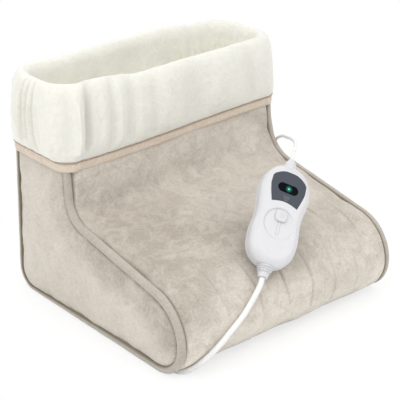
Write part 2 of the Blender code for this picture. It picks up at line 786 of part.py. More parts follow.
def add_cuff(shop):
    inside = -(PANEL_THICK + SEAM_GAP)
    face = inside - LINING_THICK
    outside = CUFF_STAND_OFF + CUFF_THICK
    top = SHELL_TOP + SEAM_GAP
    foot = TRIM_TOP + SEAM_GAP
    seam = LINING_TOP + SEAM_GAP
    roll = CUFF_TOP - top
    fall = top - foot
    rings = [
        neck_ring(face, seam, 0.5 * CUFF_CORNER),
        neck_ring(face, top, 0.5 * CUFF_CORNER),
        neck_ring(face + 0.2 * LINING_THICK, top + 0.72 * roll, 0.55 * CUFF_CORNER),
        neck_ring(inside, CUFF_TOP, 0.6 * CUFF_CORNER, 0.2 * CUFF_FOLD),
        neck_ring(0.25 * outside, CUFF_TOP - 0.06 * roll, 0.75 * CUFF_CORNER, 0.35 * CUFF_FOLD),
        neck_ring(0.8 * outside, CUFF_TOP - 0.5 * roll, 0.95 * CUFF_CORNER, 0.6 * CUFF_FOLD),
        neck_ring(outside, top - 0.15 * fall, CUFF_CORNER, 0.85 * CUFF_FOLD),
        neck_ring(outside, top - 0.5 * fall, CUFF_CORNER, CUFF_FOLD),
        neck_ring(outside, foot + 0.1 * fall, CUFF_CORNER, 0.7 * CUFF_FOLD),
        neck_ring(0.86 * outside, foot, CUFF_CORNER, 0.5 * CUFF_FOLD),
        neck_ring(CUFF_STAND_OFF, foot, 0.45 * CUFF_CORNER),
        neck_ring(CUFF_STAND_OFF, top, 0.45 * CUFF_CORNER),
        neck_ring(inside, top, 0.1 * CUFF_CORNER),
        neck_ring(inside, seam, 0.1 * CUFF_CORNER),
    ]
    shop.add("cuff", loft("cuff", rings, closed=True), shop.fleece, CUFF_SMOOTH_ANGLE)


def add_cuff_trim(shop):
    outside = CUFF_STAND_OFF + CUFF_THICK + TRIM_SWELL
    fold = 0.5 * CUFF_FOLD
    rings = [
        neck_ring(CUFF_STAND_OFF, TRIM_BOTTOM, 0.45 * CUFF_CORNER),
        neck_ring(0.85 * outside, TRIM_BOTTOM, CUFF_CORNER, fold),
        neck_ring(outside, TRIM_BOTTOM + 0.2 * TRIM_HEIGHT, CUFF_CORNER, fold),
        neck_ring(outside, TRIM_BOTTOM + 0.8 * TRIM_HEIGHT, CUFF_CORNER, fold),
        neck_ring(0.85 * outside, TRIM_TOP, CUFF_CORNER, fold),
        neck_ring(CUFF_STAND_OFF, TRIM_TOP, 0.45 * CUFF_CORNER),
    ]
    shop.add("cuff_trim", loft("cuff_trim", rings, closed=True), shop.trim, CUFF_SMOOTH_ANGLE)


# Cords


def smooth_points(route, step):
    """Evenly spaced points on a smooth curve through a route's own points, with
    the first and last stretches of the route kept straight."""
    places = [Vector(point) for point in route]
    dense = []
    for index in range(1, len(places) - 2):
        before, start, end, after = places[index - 1 : index + 3]
        for part in range(12):
            dense.append(catmull(before, start, end, after, part / 12))
    dense.append(places[-2])
    lengths = [0.0]
    for a, b in zip(dense, dense[1:]):
        lengths.append(lengths[-1] + (b - a).length)
    count = max(2, round(lengths[-1] / step))
    points = []
    index = 0
    for part in range(count + 1):
        target = lengths[-1] * part / count
        while index < len(lengths) - 2 and lengths[index + 1] < target:
            index += 1
        share = (target - lengths[index]) / (lengths[index + 1] - lengths[index])
        points.append(dense[index].lerp(dense[index + 1], share))
    return [places[0]] + points + [places[-1]]


def catmull(before, start, end, after, share):
    """A point on the curve from start to end, with knots spaced by distance."""
    first = sqrt((start - before).length)
    second = sqrt((end - start).length)
    third = sqrt((after - end).length)
    out = (start - before) / first - (end - before) / (first + second) + (end - start) / second
    into = (end - start) / second - (after - start) / (second + third) + (after - end) / third
    out, into = out * second, into * second
    square, cube = share**2, share**3
    return (
        start * (2 * cube - 3 * square + 1)
        + out * (cube - 2 * square + share)
        + end * (3 * square - 2 * cube)
        + into * (cube - square)
    )


def tube(shop, name, points, diameter, resolution, material):
    curve = bpy.data.curves.new(name, "CURVE")
    curve.dimensions = "3D"
    curve.bevel_depth = diameter / 2
    curve.bevel_resolution = resolution
    curve.use_fill_caps = True
    spline = curve.splines.new("POLY")
    spline.points.add(len(points) - 1)
    for place, point in zip(spline.points, points):
        place.co = (*point, 1.0)
    curve.materials.append(material)
    item = bpy.data.objects.new(name, curve)
    shop.parts.objects.link(item)
    return item


def route_length(points):
    return sum((b - a).length for a, b in zip(points, points[1:]))


def controller_matrix():
    up = Vector(CONTROLLER_UP).normalized()
    face = Vector(CONTROLLER_FACE)
    face = (face - up * face.dot(up)).normalized()
    side = up.cross(face)
    turn = Matrix((side, up, face)).transposed().to_4x4()
    return Matrix.Translation(CONTROLLER_AT) @ turn


def on_controller(x, y, z):
    return controller_matrix() @ Vector((x, y, z))


def lead_points():
    top = BODY_LENGTH / 2 + TOP_RELIEF_LENGTH + SEAM_GAP
    run = 2 * LEAD_DIAMETER
    start = [on_controller(0, top, 0), on_controller(0, top + run, 0)]
    tip = SIDE_FACE + SEAM_GAP + GLAND_FLANGE_THICK + GLAND_SPOUT + SEAM_GAP
    end = [(tip + 2 * LEAD_DIAMETER, GLAND_Y, GLAND_Z), (tip, GLAND_Y, GLAND_Z)]
    return smooth_points(start + LEAD_ROUTE + end, 2.5 * LEAD_DIAMETER)


def cord_points():
    low = -BODY_LENGTH / 2 - LOW_RELIEF_LENGTH - SEAM_GAP
    run = 1.2 * CORD_DIAMETER
    start = [on_controller(0, low, 0), on_controller(0, low - run, 0)]
    end = coil_points()[0] - Vector((SEAM_GAP, 0, 0))
    return smooth_points(start + CORD_ROUTE + [end - Vector((CORD_DIAMETER, 0, 0)), end], 2.4 * CORD_DIAMETER)


def coil_points():
    """The put-away cord: spirals in on the floor, climbs, and spirals out above."""
    outer = COIL_MEAN_DIAMETER / 2 + COIL_TURNS_IN * COIL_PITCH / 2
    inner = outer - COIL_TURNS_IN * COIL_PITCH
    floor = CORD_RADIUS + CORD_LIFT
    turns = COIL_TURNS_IN + 0.5 + COIL_TURNS_OUT
    count = round(turns * COIL_POINTS_PER_TURN)
    points = []
    for index in range(count + 1):
        turn = index / COIL_POINTS_PER_TURN
        climb = smoothstep(turn, COIL_TURNS_IN, COIL_TURNS_IN + 0.5)
        past = turn - COIL_TURNS_IN
        if past <= 0:
            radius = outer - turn * COIL_PITCH
        elif past < 0.5:
            radius = inner - COIL_REVERSE_SHARE * COIL_PITCH * sin(2 * pi * past)
        else:
            radius = inner + (past - 0.5) * COIL_PITCH
        angle = -pi / 2 + 2 * pi * turn
        x = COIL_X + radius * cos(angle)
        y = COIL_Y + radius * sin(angle)
        points.append(Vector((x, y, floor + climb * COIL_LAYER_STEP)))
    run = Vector((CORD_DIAMETER, 0, 0))
    return [points[0] - run] + points + [points[-1] + run]


def least_self_gap(points, diameter):
    """The least room between stretches of the coil that aren't neighbours."""
    apart = COIL_POINTS_PER_TURN // 3
    least = min(
        (points[i] - points[j]).length
        for i in range(len(points))
        for j in range(i + apart, len(points))
    )
    return least - diameter


def make_groove(shop):
    """The hollow that the mains cord presses into the soft sole."""
    half = CORD_RADIUS + GROOVE_CLEARANCE
    points = cord_points()
    path = [(i, p) for i, p in enumerate(points) if p.z < TOE_FOOT_RADIUS and p.y < HEEL_Y + CORD_DIAMETER]
    rings = []
    for index, point in path:
        along = points[index + 1] - points[index - 1]
        side = Vector((-along.y, along.x, 0)).normalized() * half
        top = Vector((0, 0, half))
        floor = Vector((0, 0, -OVERRUN - point.z))
        rings.append([point + side + floor, point - side + floor, point - side + top, point + side + top])
    return shop.add_cutter("cord_groove", loft("cord_groove", rings))


def tail_points():
    """From the coil's upper end, over its outer turn, down to the plug."""
    start = coil_points()[-1] + Vector((SEAM_GAP, 0, 0))
    level = PLUG_THICK / 2 + CORD_LIFT - start.z
    shares = ((0, 0), (0.12, 0), (0.4, 0), (0.65, 0.5), (0.88, 1), (1, 1))
    places = [start + Vector((TAIL_LENGTH * along, 0, level * drop)) for along, drop in shares]
    return smooth_points(places, 2.4 * CORD_DIAMETER)


def add_cords(shop):
    lead = lead_points()
    tube(shop, "heating_lead", lead, LEAD_DIAMETER, 2, shop.cord)
    cord = cord_points()
    tube(shop, "mains_cord", cord, CORD_DIAMETER, 2, shop.cord)
    coil = coil_points()
    tube(shop, "mains_cord_coil", coil, CORD_DIAMETER, 1, shop.cord)
    tail = tail_points()
    tube(shop, "mains_cord_tail", tail, CORD_DIAMETER, 2, shop.cord)
    print("heating lead length, m:", round(route_length(lead), 4))
    print("mains cord free length, m:", round(route_length(cord), 4))
    print("mains cord coil length, m:", round(route_length(coil), 4))
    print("mains cord tail length, m:", round(route_length(tail), 4))
    print("coil's least gap to itself, mm:", round(least_self_gap(coil, CORD_DIAMETER) / MM, 2))


def turned(shop, name, profile, material, steps=16):
    """A turned piece about its own Z, from (radius, height) pairs, top first."""
    bm = bmesh.new()
    verts = [bm.verts.new((radius, 0.0, height)) for radius, height in profile]
    for a, b in zip(verts, verts[1:]):
        bm.edges.new((a, b))
    mesh = bpy.data.meshes.new(name)
    bm.to_mesh(mesh)
    bm.free()
    item = shop.add(name, mesh, material, 35)
    screw = item.modifiers.new("turn", "SCREW")
    screw.axis = "Z"
    screw.steps = steps
    screw.render_steps = steps
    screw.use_merge_vertices = True
    screw.merge_threshold = SEAM_GAP / 30
    return item


def add_gland(shop):
    face = SIDE_FACE + SEAM_GAP
    flange = GLAND_FLANGE_THICK
    spout = flange + GLAND_SPOUT
    inward = face - (HALF_WIDTH - PANEL_THICK)
    profile = [
        (0.0, spout),
        (1.5 * LEAD_RADIUS, spout),
        (GLAND_SLEEVE_RADIUS, 1.6 * flange),
        (0.8 * GLAND_FLANGE_RADIUS, flange),
        (GLAND_FLANGE_RADIUS, 0.6 * flange),
        (GLAND_FLANGE_RADIUS, 0.0),
        (GLAND_SLEEVE_RADIUS, 0.0),
        (GLAND_SLEEVE_RADIUS, -inward),
        (0.0, -inward),
    ]
    gland = turned(shop, "lead_gland", profile, shop.white)
    gland.matrix_world = Matrix.Translation((face, GLAND_Y, GLAND_Z)) @ Matrix.Rotation(pi / 2, 4, "Y")


# Controller, modelled with x across, y towards the lead and z out of the face


def outline_curve(shop, name, points, thickness, bottom, resolution=3, grow=0.0, handles="AUTO"):
    """A flat outline through points, given a thickness, as a mesh."""
    curve = bpy.data.curves.new(name, "CURVE")
    curve.dimensions = "2D"
    curve.fill_mode = "BOTH"
    curve.extrude = thickness / 2
    curve.offset = grow
    curve.resolution_u = resolution
    spline = curve.splines.new("BEZIER")
    spline.use_cyclic_u = True
    spline.bezier_points.add(len(points) - 1)
    for knot, (x, y) in zip(spline.bezier_points, points):
        knot.co = (x, y, 0.0)
        knot.handle_left_type = handles
        knot.handle_right_type = handles
    guide = bpy.data.objects.new(name, curve)
    shop.cutters.objects.link(guide)
    mesh = evaluated_mesh(guide)
    bpy.data.objects.remove(guide, do_unlink=True)
    mesh.transform(Matrix.Translation((0, 0, bottom + thickness / 2)))
    return mesh


def body_outline(inset=0.0):
    """Waisted outline of the controller, clockwise seen from the face."""
    half = BODY_LENGTH / 2 - inset
    top = BODY_WIDTH_TOP / 2 - inset
    waist = BODY_WIDTH_WAIST / 2 - inset
    low = BODY_WIDTH_LOW / 2 - inset
    right = [
        (0.38 * top, 0.975 * half),
        (0.80 * top, 0.80 * half),
        (top, 0.50 * half),
        (0.5 * (waist + top), 0.22 * half),
        (waist, -0.04 * half),
        (low, -0.48 * half),
        (0.84 * low, -0.80 * half),
        (0.45 * low, -0.965 * half),
    ]
    left = [(-x, y) for x, y in reversed(right)]
    return [(0.0, half)] + right + [(0.0, -half)] + left


def fascia_outline():
    """Shield shape: domed top, drawn-in foot, lower edge arched over the dish."""
    half = FASCIA_WIDTH / 2
    foot = FASCIA_BOTTOM_WIDTH / 2
    rise = FASCIA_TOP - FASCIA_BOTTOM
    right = [
        (0.45 * half, FASCIA_TOP - 0.03 * rise),
        (0.86 * half, FASCIA_TOP - 0.18 * rise),
        (half, FASCIA_TOP - 0.42 * rise),
        (0.5 * (half + foot), FASCIA_TOP - 0.74 * rise),
        (1.02 * foot, FASCIA_BOTTOM + 0.04 * rise),
        (0.93 * foot, FASCIA_BOTTOM),
        (0.5 * foot, FASCIA_BOTTOM + 0.045 * rise),
    ]
    left = [(-x, y) for x, y in reversed(right)]
    return [(0.0, FASCIA_TOP)] + right + [(0.0, FASCIA_BOTTOM + 0.06 * rise)] + left


def stadium(name, length, height, centre_y, bottom, top, steps=8):
    radius = height / 2
    reach = length / 2 - radius
    outline = []
    for sign, start in ((1, -pi / 2), (-1, pi / 2)):
        for step in range(steps + 1):
            angle = start + pi * step / steps
            outline.append((sign * reach + radius * cos(angle), centre_y + radius * sin(angle)))
    return loft(name, [[(x, y, z) for x, y in outline] for z in (bottom, top)])


def post_places():
    return [(x, y) for x in (-POST_X, POST_X) for y in (-POST_Y, POST_Y)]


def half_body(shop, name, sign):
    """One half of the housing, outer skin rounded, hollow inside."""
    shell = shop.add(name, outline_curve(shop, name, body_outline(), BODY_THICK, -HALF_BODY), shop.white)
    edge = shell.modifiers.new("edge", "BEVEL")
    edge.width = BODY_EDGE
    edge.segments = 2
    edge.limit_method = "ANGLE"
    edge.angle_limit = radians(60)
    reach = BODY_LENGTH
    near, far = sign * PARTING_GAP / 2, sign * BODY_THICK
    slab = box(f"{name}_half", (-reach, -reach, min(near, far)), (reach, reach, max(near, far)))
    boolean(shell, "INTERSECT", shop.add_cutter(f"{name}_half", slab))
    depth = HALF_BODY - FACE_WALL
    hollow = outline_curve(shop, f"{name}_hollow", body_outline(WALL), 2 * depth, -depth)
    boolean(shell, "DIFFERENCE", shop.add_cutter(f"{name}_hollow", hollow))
    return shell


def relief_cutters(shop, name):
    """Round ways through the ends of the housing for the relief necks."""
    cutters = []
    for end, base, sign in (("top", TOP_RELIEF_BASE, 1), ("low", LOW_RELIEF_BASE, -1)):
        radius = RELIEF_NECK_SHARE * base + SEAM_GAP
        start = sign * (BODY_LENGTH / 2 - 3 * WALL)
        stop = sign * (BODY_LENGTH / 2 + OVERRUN)
        label = f"{name}_{end}_way"
        cutters.append(shop.add_cutter(label, cylinder(label, (0, start, 0), (0, stop, 0), radius)))
    return cutters


def knob_floor():
    return HALF_BODY - DISH_DEPTH


def stem_y():
    return KNOB_Y - 0.15 * KNOB_HEIGHT


def add_front_shell(shop):
    shell = half_body(shop, "controller_front_shell", 1)
    inner = HALF_BODY - FACE_WALL
    for index, (x, y) in enumerate(post_places()):
        post = cylinder(f"front_post_{index}", (x, y, PARTING_GAP), (x, y, inner + FACE_WALL / 2), POST_RADIUS, segments=12)
        boolean(shell, "UNION", shop.add_cutter(f"front_post_{index}", post))
        hole = cylinder(
            f"front_bore_{index}", (x, y, -OVERRUN), (x, y, SCREW_DEPTH + SEAM_GAP), SCREW_RADIUS + SEAM_GAP, segments=8
        )
        boolean(shell, "DIFFERENCE", shop.add_cutter(f"front_bore_{index}", hole))
    for cutter in relief_cutters(shop, "front"):
        boolean(shell, "DIFFERENCE", cutter)
    recess_floor = HALF_BODY + FASCIA_PROUD - FASCIA_THICK - SEAM_GAP
    depth = HALF_BODY + OVERRUN - recess_floor
    recess = outline_curve(shop, "fascia_recess", fascia_outline(), depth, recess_floor, grow=SEAM_GAP)
    boolean(shell, "DIFFERENCE", shop.add_cutter("fascia_recess", recess))
    dish = cylinder(
        "dish", (0, DISH_Y, knob_floor()), (0, DISH_Y, HALF_BODY + DISH_DEPTH), DISH_RADIUS - DISH_DEPTH,
        DISH_RADIUS + DISH_DEPTH, segments=32,
    )
    boolean(shell, "DIFFERENCE", shop.add_cutter("dish", dish))
    half_slot = STEM_WIDTH / 2 + SLIDE_GAP
    slot_low = stem_y() - KNOB_TRAVEL - STEM_LENGTH / 2 - SLIDE_GAP
    slot_high = stem_y() + STEM_LENGTH / 2 + SLIDE_GAP
    slot = box("slot", (-half_slot, slot_low, inner - OVERRUN), (half_slot, slot_high, HALF_BODY + OVERRUN))
    boolean(shell, "DIFFERENCE", shop.add_cutter("slot", slot))
    light_radius = LED_DIAMETER / 2 + SEAM_GAP
    light = cylinder("light_way", (0, WINDOW_Y, inner - OVERRUN), (0, WINDOW_Y, HALF_BODY + OVERRUN), light_radius)
    boolean(shell, "DIFFERENCE", shop.add_cutter("light_way", light))
    return shell


def add_back_shell(shop):
    shell = half_body(shop, "controller_back_shell", -1)
    floor = -(HALF_BODY - FACE_WALL)
    for index, (x, y) in enumerate(post_places()):
        start = (x, y, floor - FACE_WALL / 2)
        post = cylinder(f"back_post_{index}", start, (x, y, -PARTING_GAP), POST_RADIUS, segments=12)
        boolean(shell, "UNION", shop.add_cutter(f"back_post_{index}", post))
        bore = cylinder(
            f"back_bore_{index}", (x, y, -HALF_BODY - OVERRUN), (x, y, OVERRUN), SCREW_RADIUS + SEAM_GAP, segments=8
        )
        boolean(shell, "DIFFERENCE", shop.add_cutter(f"back_bore_{index}", bore))
        sink_top = -HALF_BODY + SCREW_HEAD_HEIGHT + SEAM_GAP
        sink = cylinder(
            f"back_sink_{index}", (x, y, -HALF_BODY - OVERRUN), (x, y, sink_top), SCREW_HEAD_RADIUS + SEAM_GAP, segments=12
        )
        boolean(shell, "DIFFERENCE", shop.add_cutter(f"back_sink_{index}", sink))
    for index, y in enumerate((-0.3 * BOARD_LENGTH, 0.3 * BOARD_LENGTH)):
        low = (-0.4 * BOARD_WIDTH, y - RIB_THICK / 2, floor - FACE_WALL / 2)
        high = (0.4 * BOARD_WIDTH, y + RIB_THICK / 2, BOARD_BOTTOM - SEAM_GAP)
        boolean(shell, "UNION", shop.add_cutter(f"board_rib_{index}", box(f"board_rib_{index}", low, high)))
    for cutter in relief_cutters(shop, "back"):
        boolean(shell, "DIFFERENCE", cutter)
    return shell


def add_fascia(shop):
    bottom = HALF_BODY + FASCIA_PROUD - FASCIA_THICK
    mesh = outline_curve(shop, "display_fascia", fascia_outline(), FASCIA_THICK, bottom)
    fascia = shop.add("display_fascia", mesh, shop.grey)
    hole = stadium(
        "window_hole", WINDOW_LENGTH + 2 * SEAM_GAP, WINDOW_HEIGHT + 2 * SEAM_GAP, WINDOW_Y,
        bottom - OVERRUN, HALF_BODY + OVERRUN,
    )
    boolean(fascia, "DIFFERENCE", shop.add_cutter("window_hole", hole))
    lens = stadium("display_window", WINDOW_LENGTH, WINDOW_HEIGHT, WINDOW_Y, bottom, HALF_BODY + FASCIA_PROUD / 2)
    window = shop.add("display_window", lens, shop.window)
    light = cylinder(
        "indicator_light", (0, WINDOW_Y, BOARD_BOTTOM + BOARD_THICK + SEAM_GAP), (0, WINDOW_Y, bottom - SEAM_GAP),
        LED_DIAMETER / 2, segments=12,
    )
    led = shop.add("indicator_light", light, shop.glow)
    return [fascia, window, led]


def add_board(shop):
    low = (-BOARD_WIDTH / 2, -BOARD_LENGTH / 2, BOARD_BOTTOM)
    high = (BOARD_WIDTH / 2, BOARD_LENGTH / 2, BOARD_BOTTOM + BOARD_THICK)
    board = shop.add("circuit_board", box("circuit_board", low, high), shop.board)
    bottom = BOARD_BOTTOM + BOARD_THICK + SEAM_GAP
    middle = stem_y() - KNOB_TRAVEL / 2
    reach = KNOB_TRAVEL / 2 + STEM_LENGTH
    low = (-SWITCH_WIDTH / 2, middle - reach, bottom)
    high = (SWITCH_WIDTH / 2, middle + reach, bottom + SWITCH_HEIGHT)
    switch = shop.add("slide_switch", box("slide_switch", low, high), shop.black)
    return [board, switch]


def add_knob(shop):
    """Thumb slider: a domed cap over a stem that reaches the switch."""
    bottom = knob_floor() + SEAM_GAP
    half_x, half_y = KNOB_WIDTH / 2, KNOB_HEIGHT / 2
    corner_share = 0.78
    outline = [
        (0.0, half_y), (corner_share * half_x, corner_share * half_y), (half_x, 0.0),
        (corner_share * half_x, -corner_share * half_y), (0.0, -half_y),
        (-corner_share * half_x, -corner_share * half_y), (-half_x, 0.0),
        (-corner_share * half_x, corner_share * half_y),
    ]
    cap = outline_curve(shop, "slide_knob", outline, KNOB_RISE, bottom, resolution=5)
    cap.transform(Matrix.Translation((0, KNOB_Y - stem_y(), 0)))
    knob = shop.add("slide_knob", cap, shop.white)
    edge = knob.modifiers.new("edge", "BEVEL")
    edge.width = 0.35 * KNOB_RISE
    edge.segments = 2
    edge.limit_method = "ANGLE"
    edge.angle_limit = radians(60)
    stem_foot = BOARD_BOTTOM + BOARD_THICK + SEAM_GAP + SWITCH_HEIGHT + SEAM_GAP
    low = (-STEM_WIDTH / 2, -STEM_LENGTH / 2, stem_foot)
    high = (STEM_WIDTH / 2, STEM_LENGTH / 2, bottom + KNOB_RISE / 2)
    stem = shop.add_cutter("knob_stem", box("knob_stem", low, high))
    boolean(knob, "UNION", stem)
    for item in (knob, stem):
        item.location = (0, stem_y(), 0)
    return knob


def add_screws(shop):
    screws = []
    for index, (x, y) in enumerate(post_places()):
        name = f"back_screw_{index + 1}"
        head = -HALF_BODY
        profile = [
            (0.0, head + SCREW_HEAD_HEIGHT + HALF_BODY - SCREW_HEAD_HEIGHT + SCREW_DEPTH),
            (SCREW_RADIUS, SCREW_DEPTH),
            (SCREW_RADIUS, head + SCREW_HEAD_HEIGHT),
            (SCREW_HEAD_RADIUS, head + SCREW_HEAD_HEIGHT),
            (SCREW_HEAD_RADIUS, head),
            (0.0, head),
        ]
        screw = turned(shop, name, profile, shop.steel, steps=8)
        screw.location = (x, y, 0)
        screws.append(screw)
    return screws


def relief_profile(base, tip, length, ribs, groove):
    """Taper from the housing to the cord, with rings cut round it."""
    neck = RELIEF_NECK_SHARE * base
    profile = [(0.0, length), (tip, length)]
    if ribs:
        pitch = length / (ribs + 0.6)
        for rib in range(ribs):
            top = length - pitch * (rib + 0.35)
            for share, cut in ((0.0, 0.0), (0.12, groove), (0.38, groove), (0.5, 0.0)):
                height = top - share * pitch
                radius = base + (tip - base) * height / length
                profile.append((radius - cut, height))
    else:
        for share in (0.8, 0.6, 0.4, 0.2):
            curve = (1 - share) ** 2
            profile.append((tip + (base - tip) * curve, share * length))
    start = SEAM_GAP
    profile += [(base, start), (neck, start), (neck, -WALL - RELIEF_FLANGE)]
    tail = -RELIEF_TAIL
    profile += [(0.75 * neck, -WALL - RELIEF_FLANGE), (0.75 * neck, tail), (0.0, tail)]
    return profile


def add_reliefs(shop):
    top = turned(
        shop, "top_relief",
        relief_profile(TOP_RELIEF_BASE, TOP_RELIEF_TIP, TOP_RELIEF_LENGTH, 0, 0.0), shop.white,
    )
    top.matrix_world = Matrix.Translation((0, BODY_LENGTH / 2, 0)) @ Matrix.Rotation(-pi / 2, 4, "X")
    low = turned(
        shop, "bottom_relief",
        relief_profile(LOW_RELIEF_BASE, LOW_RELIEF_TIP, LOW_RELIEF_LENGTH, RELIEF_RIBS, LOW_RELIEF_GROOVE), shop.white,
    )
    low.matrix_world = Matrix.Translation((0, -BODY_LENGTH / 2, 0)) @ Matrix.Rotation(pi / 2, 4, "X")
    return [top, low]


def add_controller(shop):
    frame = bpy.data.objects.new("controller_frame", None)
    shop.parts.objects.link(frame)
    frame.matrix_world = controller_matrix()
    cutters_before = set(shop.cutters.objects)
    pieces = [add_front_shell(shop), add_back_shell(shop)]
    pieces += add_fascia(shop) + add_board(shop) + [add_knob(shop)]
    pieces += add_screws(shop) + add_reliefs(shop)
    for item in pieces + [c for c in shop.cutters.objects if c not in cutters_before]:
        place = item.matrix_world.copy() if item.name.endswith("relief") else item.matrix_basis.copy()
        item.parent = frame
        item.matrix_basis = place


def add_plug(shop):
    """Flat two-pin plug lying behind the boot at the end of the coil."""
    end = tail_points()[-1] + Vector((SEAM_GAP, 0, 0))
    relief_foot = end.x + PLUG_RELIEF_LENGTH
    centre_z = end.z
    profile = relief_profile(PLUG_RELIEF_BASE, PLUG_RELIEF_TIP, PLUG_RELIEF_LENGTH, 4, 0.5 * LOW_RELIEF_GROOVE)
    profile = [point for point in profile if point[1] > SEAM_GAP / 2] + [(0.0, SEAM_GAP)]
    relief = turned(shop, "plug_relief", profile, shop.cord)
    relief.matrix_world = Matrix.Translation((relief_foot, end.y, centre_z)) @ Matrix.Rotation(-pi / 2, 4, "Y")
    half = PLUG_WIDTH / 2
    long = PLUG_LENGTH
    outline = [
        (0.0, 0.42 * half), (0.12 * long, 0.5 * half), (0.45 * long, 0.86 * half), (0.72 * long, half),
        (0.97 * long, 0.97 * half), (long, 0.6 * half), (long, -0.6 * half), (0.97 * long, -0.97 * half),
        (0.72 * long, -half), (0.45 * long, -0.86 * half), (0.12 * long, -0.5 * half), (0.0, -0.42 * half),
    ]
    mesh = outline_curve(shop, "plug_body", outline, PLUG_THICK, -PLUG_THICK / 2, handles="VECTOR")
    body = shop.add("plug_body", mesh, shop.cord)
    edge = body.modifiers.new("edge", "BEVEL")
    edge.width = PLUG_EDGE
    edge.segments = 2
    edge.limit_method = "ANGLE"
    edge.angle_limit = radians(60)
    body.location = (relief_foot, end.y, centre_z)
    tip = relief_foot + long + SEAM_GAP
    for index, sign in enumerate((1, -1)):
        y = end.y + sign * PIN_SPACING / 2
        pin = cylinder("pin", (tip, y, centre_z), (tip + PIN_LENGTH, y, centre_z), PIN_DIAMETER / 2, segments=16)
        shop.add(f"plug_pin_{index + 1}", pin, shop.brass)


def main():
    clear_scene()
    shop = Workshop()
    groove = make_groove(shop)
    add_front_panel(shop, groove)
    add_heel_panel(shop, groove)
    add_sole_panel(shop, groove)
    add_side_panels(shop)
    add_bindings(shop, groove)
    add_lining(shop)
    add_heater(shop)
    add_cuff(shop)
    add_cuff_trim(shop)
    add_gland(shop)
    add_controller(shop)
    add_cords(shop)
    add_plug(shop)
    bpy.context.view_layer.update()


main()
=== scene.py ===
"""Electric foot warmer, dressed: padded velour boot with a turned-down fleece cuff,
a slide-switch controller standing against the toe, and its two cords.

Metres, +Z up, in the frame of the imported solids: X side to side, -Y the toe.
"""

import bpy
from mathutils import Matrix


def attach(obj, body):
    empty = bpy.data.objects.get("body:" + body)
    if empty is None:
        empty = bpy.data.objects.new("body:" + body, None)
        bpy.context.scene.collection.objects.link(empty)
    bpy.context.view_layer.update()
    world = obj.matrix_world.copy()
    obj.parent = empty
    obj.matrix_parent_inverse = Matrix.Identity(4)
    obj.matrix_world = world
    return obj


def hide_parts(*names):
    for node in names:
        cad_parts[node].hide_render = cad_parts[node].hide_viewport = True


bl_info = {
    "name": "Electric Foot Warmer",
    "version": (1, 0, 0),
    "blender": (4, 5, 0),
    "location": "View3D > Sidebar > Foot Warmer",
    "description": "Builds a padded electric foot warmer with its controller and cords",
    "category": "Add Mesh",
}

from math import cos, exp, pi, radians, sin, sqrt, tan

import bmesh
import bpy
from bpy.props import FloatProperty, FloatVectorProperty, PointerProperty
from mathutils import Matrix, Vector, kdtree, noise

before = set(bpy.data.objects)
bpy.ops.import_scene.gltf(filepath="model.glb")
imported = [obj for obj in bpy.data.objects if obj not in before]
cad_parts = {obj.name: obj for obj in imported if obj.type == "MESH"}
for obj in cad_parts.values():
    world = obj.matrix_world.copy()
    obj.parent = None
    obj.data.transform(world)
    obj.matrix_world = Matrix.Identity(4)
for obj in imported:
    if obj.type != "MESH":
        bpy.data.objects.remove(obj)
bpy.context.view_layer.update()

MM = 0.001


def in_metres(rows):
    """Rows of millimetres, as metres."""
    return tuple(tuple(value * MM for value in row) for row in rows)


# Camera, fitted to the photograph's seams
CAMERA_AT = (-857 * MM, -1005.9 * MM, 717 * MM)
CAMERA_AIM = (-4.5 * MM, -0.2 * MM, 113.4 * MM)
LENS_MM = 115.89
SENSOR_MM = 36.0

# Boot profile in (y, z), outer faces, and the radii of its rounded corners
HALF_WIDTH = 155 * MM
SHELL_TOP = 248 * MM
PROFILE = (
    (47 * MM, SHELL_TOP),
    (39.5 * MM, 122 * MM),
    (-148.5 * MM, 84.6 * MM),
    (-148.5 * MM, 0.0),
    (148 * MM, 0.0),
    (137 * MM, SHELL_TOP),
)
PROFILE_RADII = (28 * MM, 52 * MM, 42 * MM, 25 * MM)
TOE_SEAM_ANGLE = radians(62)
HEEL_SEAM_ANGLE = radians(35)
PANEL_STEP = 5 * MM
PANEL_THICK = 3.6 * MM

# Roll of the bound seams: radius at the toe and at the heel, its seams' inset
# as a share of that radius, how deep a padded panel dips into a seam, and how
# far the stitching's shadow line reaches
ROLL_RADIUS = 4.8 * MM
ROLL_HEEL_RADIUS = 2.4 * MM
ROLL_SEAM_SHARE = 1.62
SEAM_DIP = 3.6 * MM
SEAM_DIP_REACH = 7 * MM
SEAM_LINE = 5 * MM

# Swell, creases and soft unevenness of the padded panels
FRONT_CROWN = 5.2 * MM
HEEL_CROWN = 3 * MM
SIDE_CROWN = 4.6 * MM
SIDE_CROWN_REACH = 34 * MM
SIDE_INSET = 0.6 * MM
# The toe's upright creases: place across the boot, strength, and the shares
# of the front's length where each starts and ends
CREASES = (
    (-92 * MM, 0.5, 0.66, 0.88), (-47 * MM, 0.6, 0.7, 0.93), (-12 * MM, 0.8, 0.64, 0.9),
    (26 * MM, 0.7, 0.72, 0.94), (58 * MM, 0.9, 0.74, 0.95), (79 * MM, 0.8, 0.5, 0.7),
    (93 * MM, 0.7, 0.77, 0.94), (112 * MM, 0.6, 0.6, 0.78),
)
CREASE_WIDTH = 1.8 * MM
CREASE_DEPTH = 2 * MM
CREASE_SHADE = 0.7
LUMP_HEIGHT = 1.3 * MM
LUMP_SIZE = 46 * MM
CLOTH_FRAMES = 20

# The soft neck is turned a little: its right end sits back, its cuff higher,
# and the rim stands higher round the left end and the rear
NECK_TURN = 11 * MM
NECK_LIFT = 3.5 * MM
RIM_LIFT = 6.5 * MM
RIM_FRONT = 41 * MM

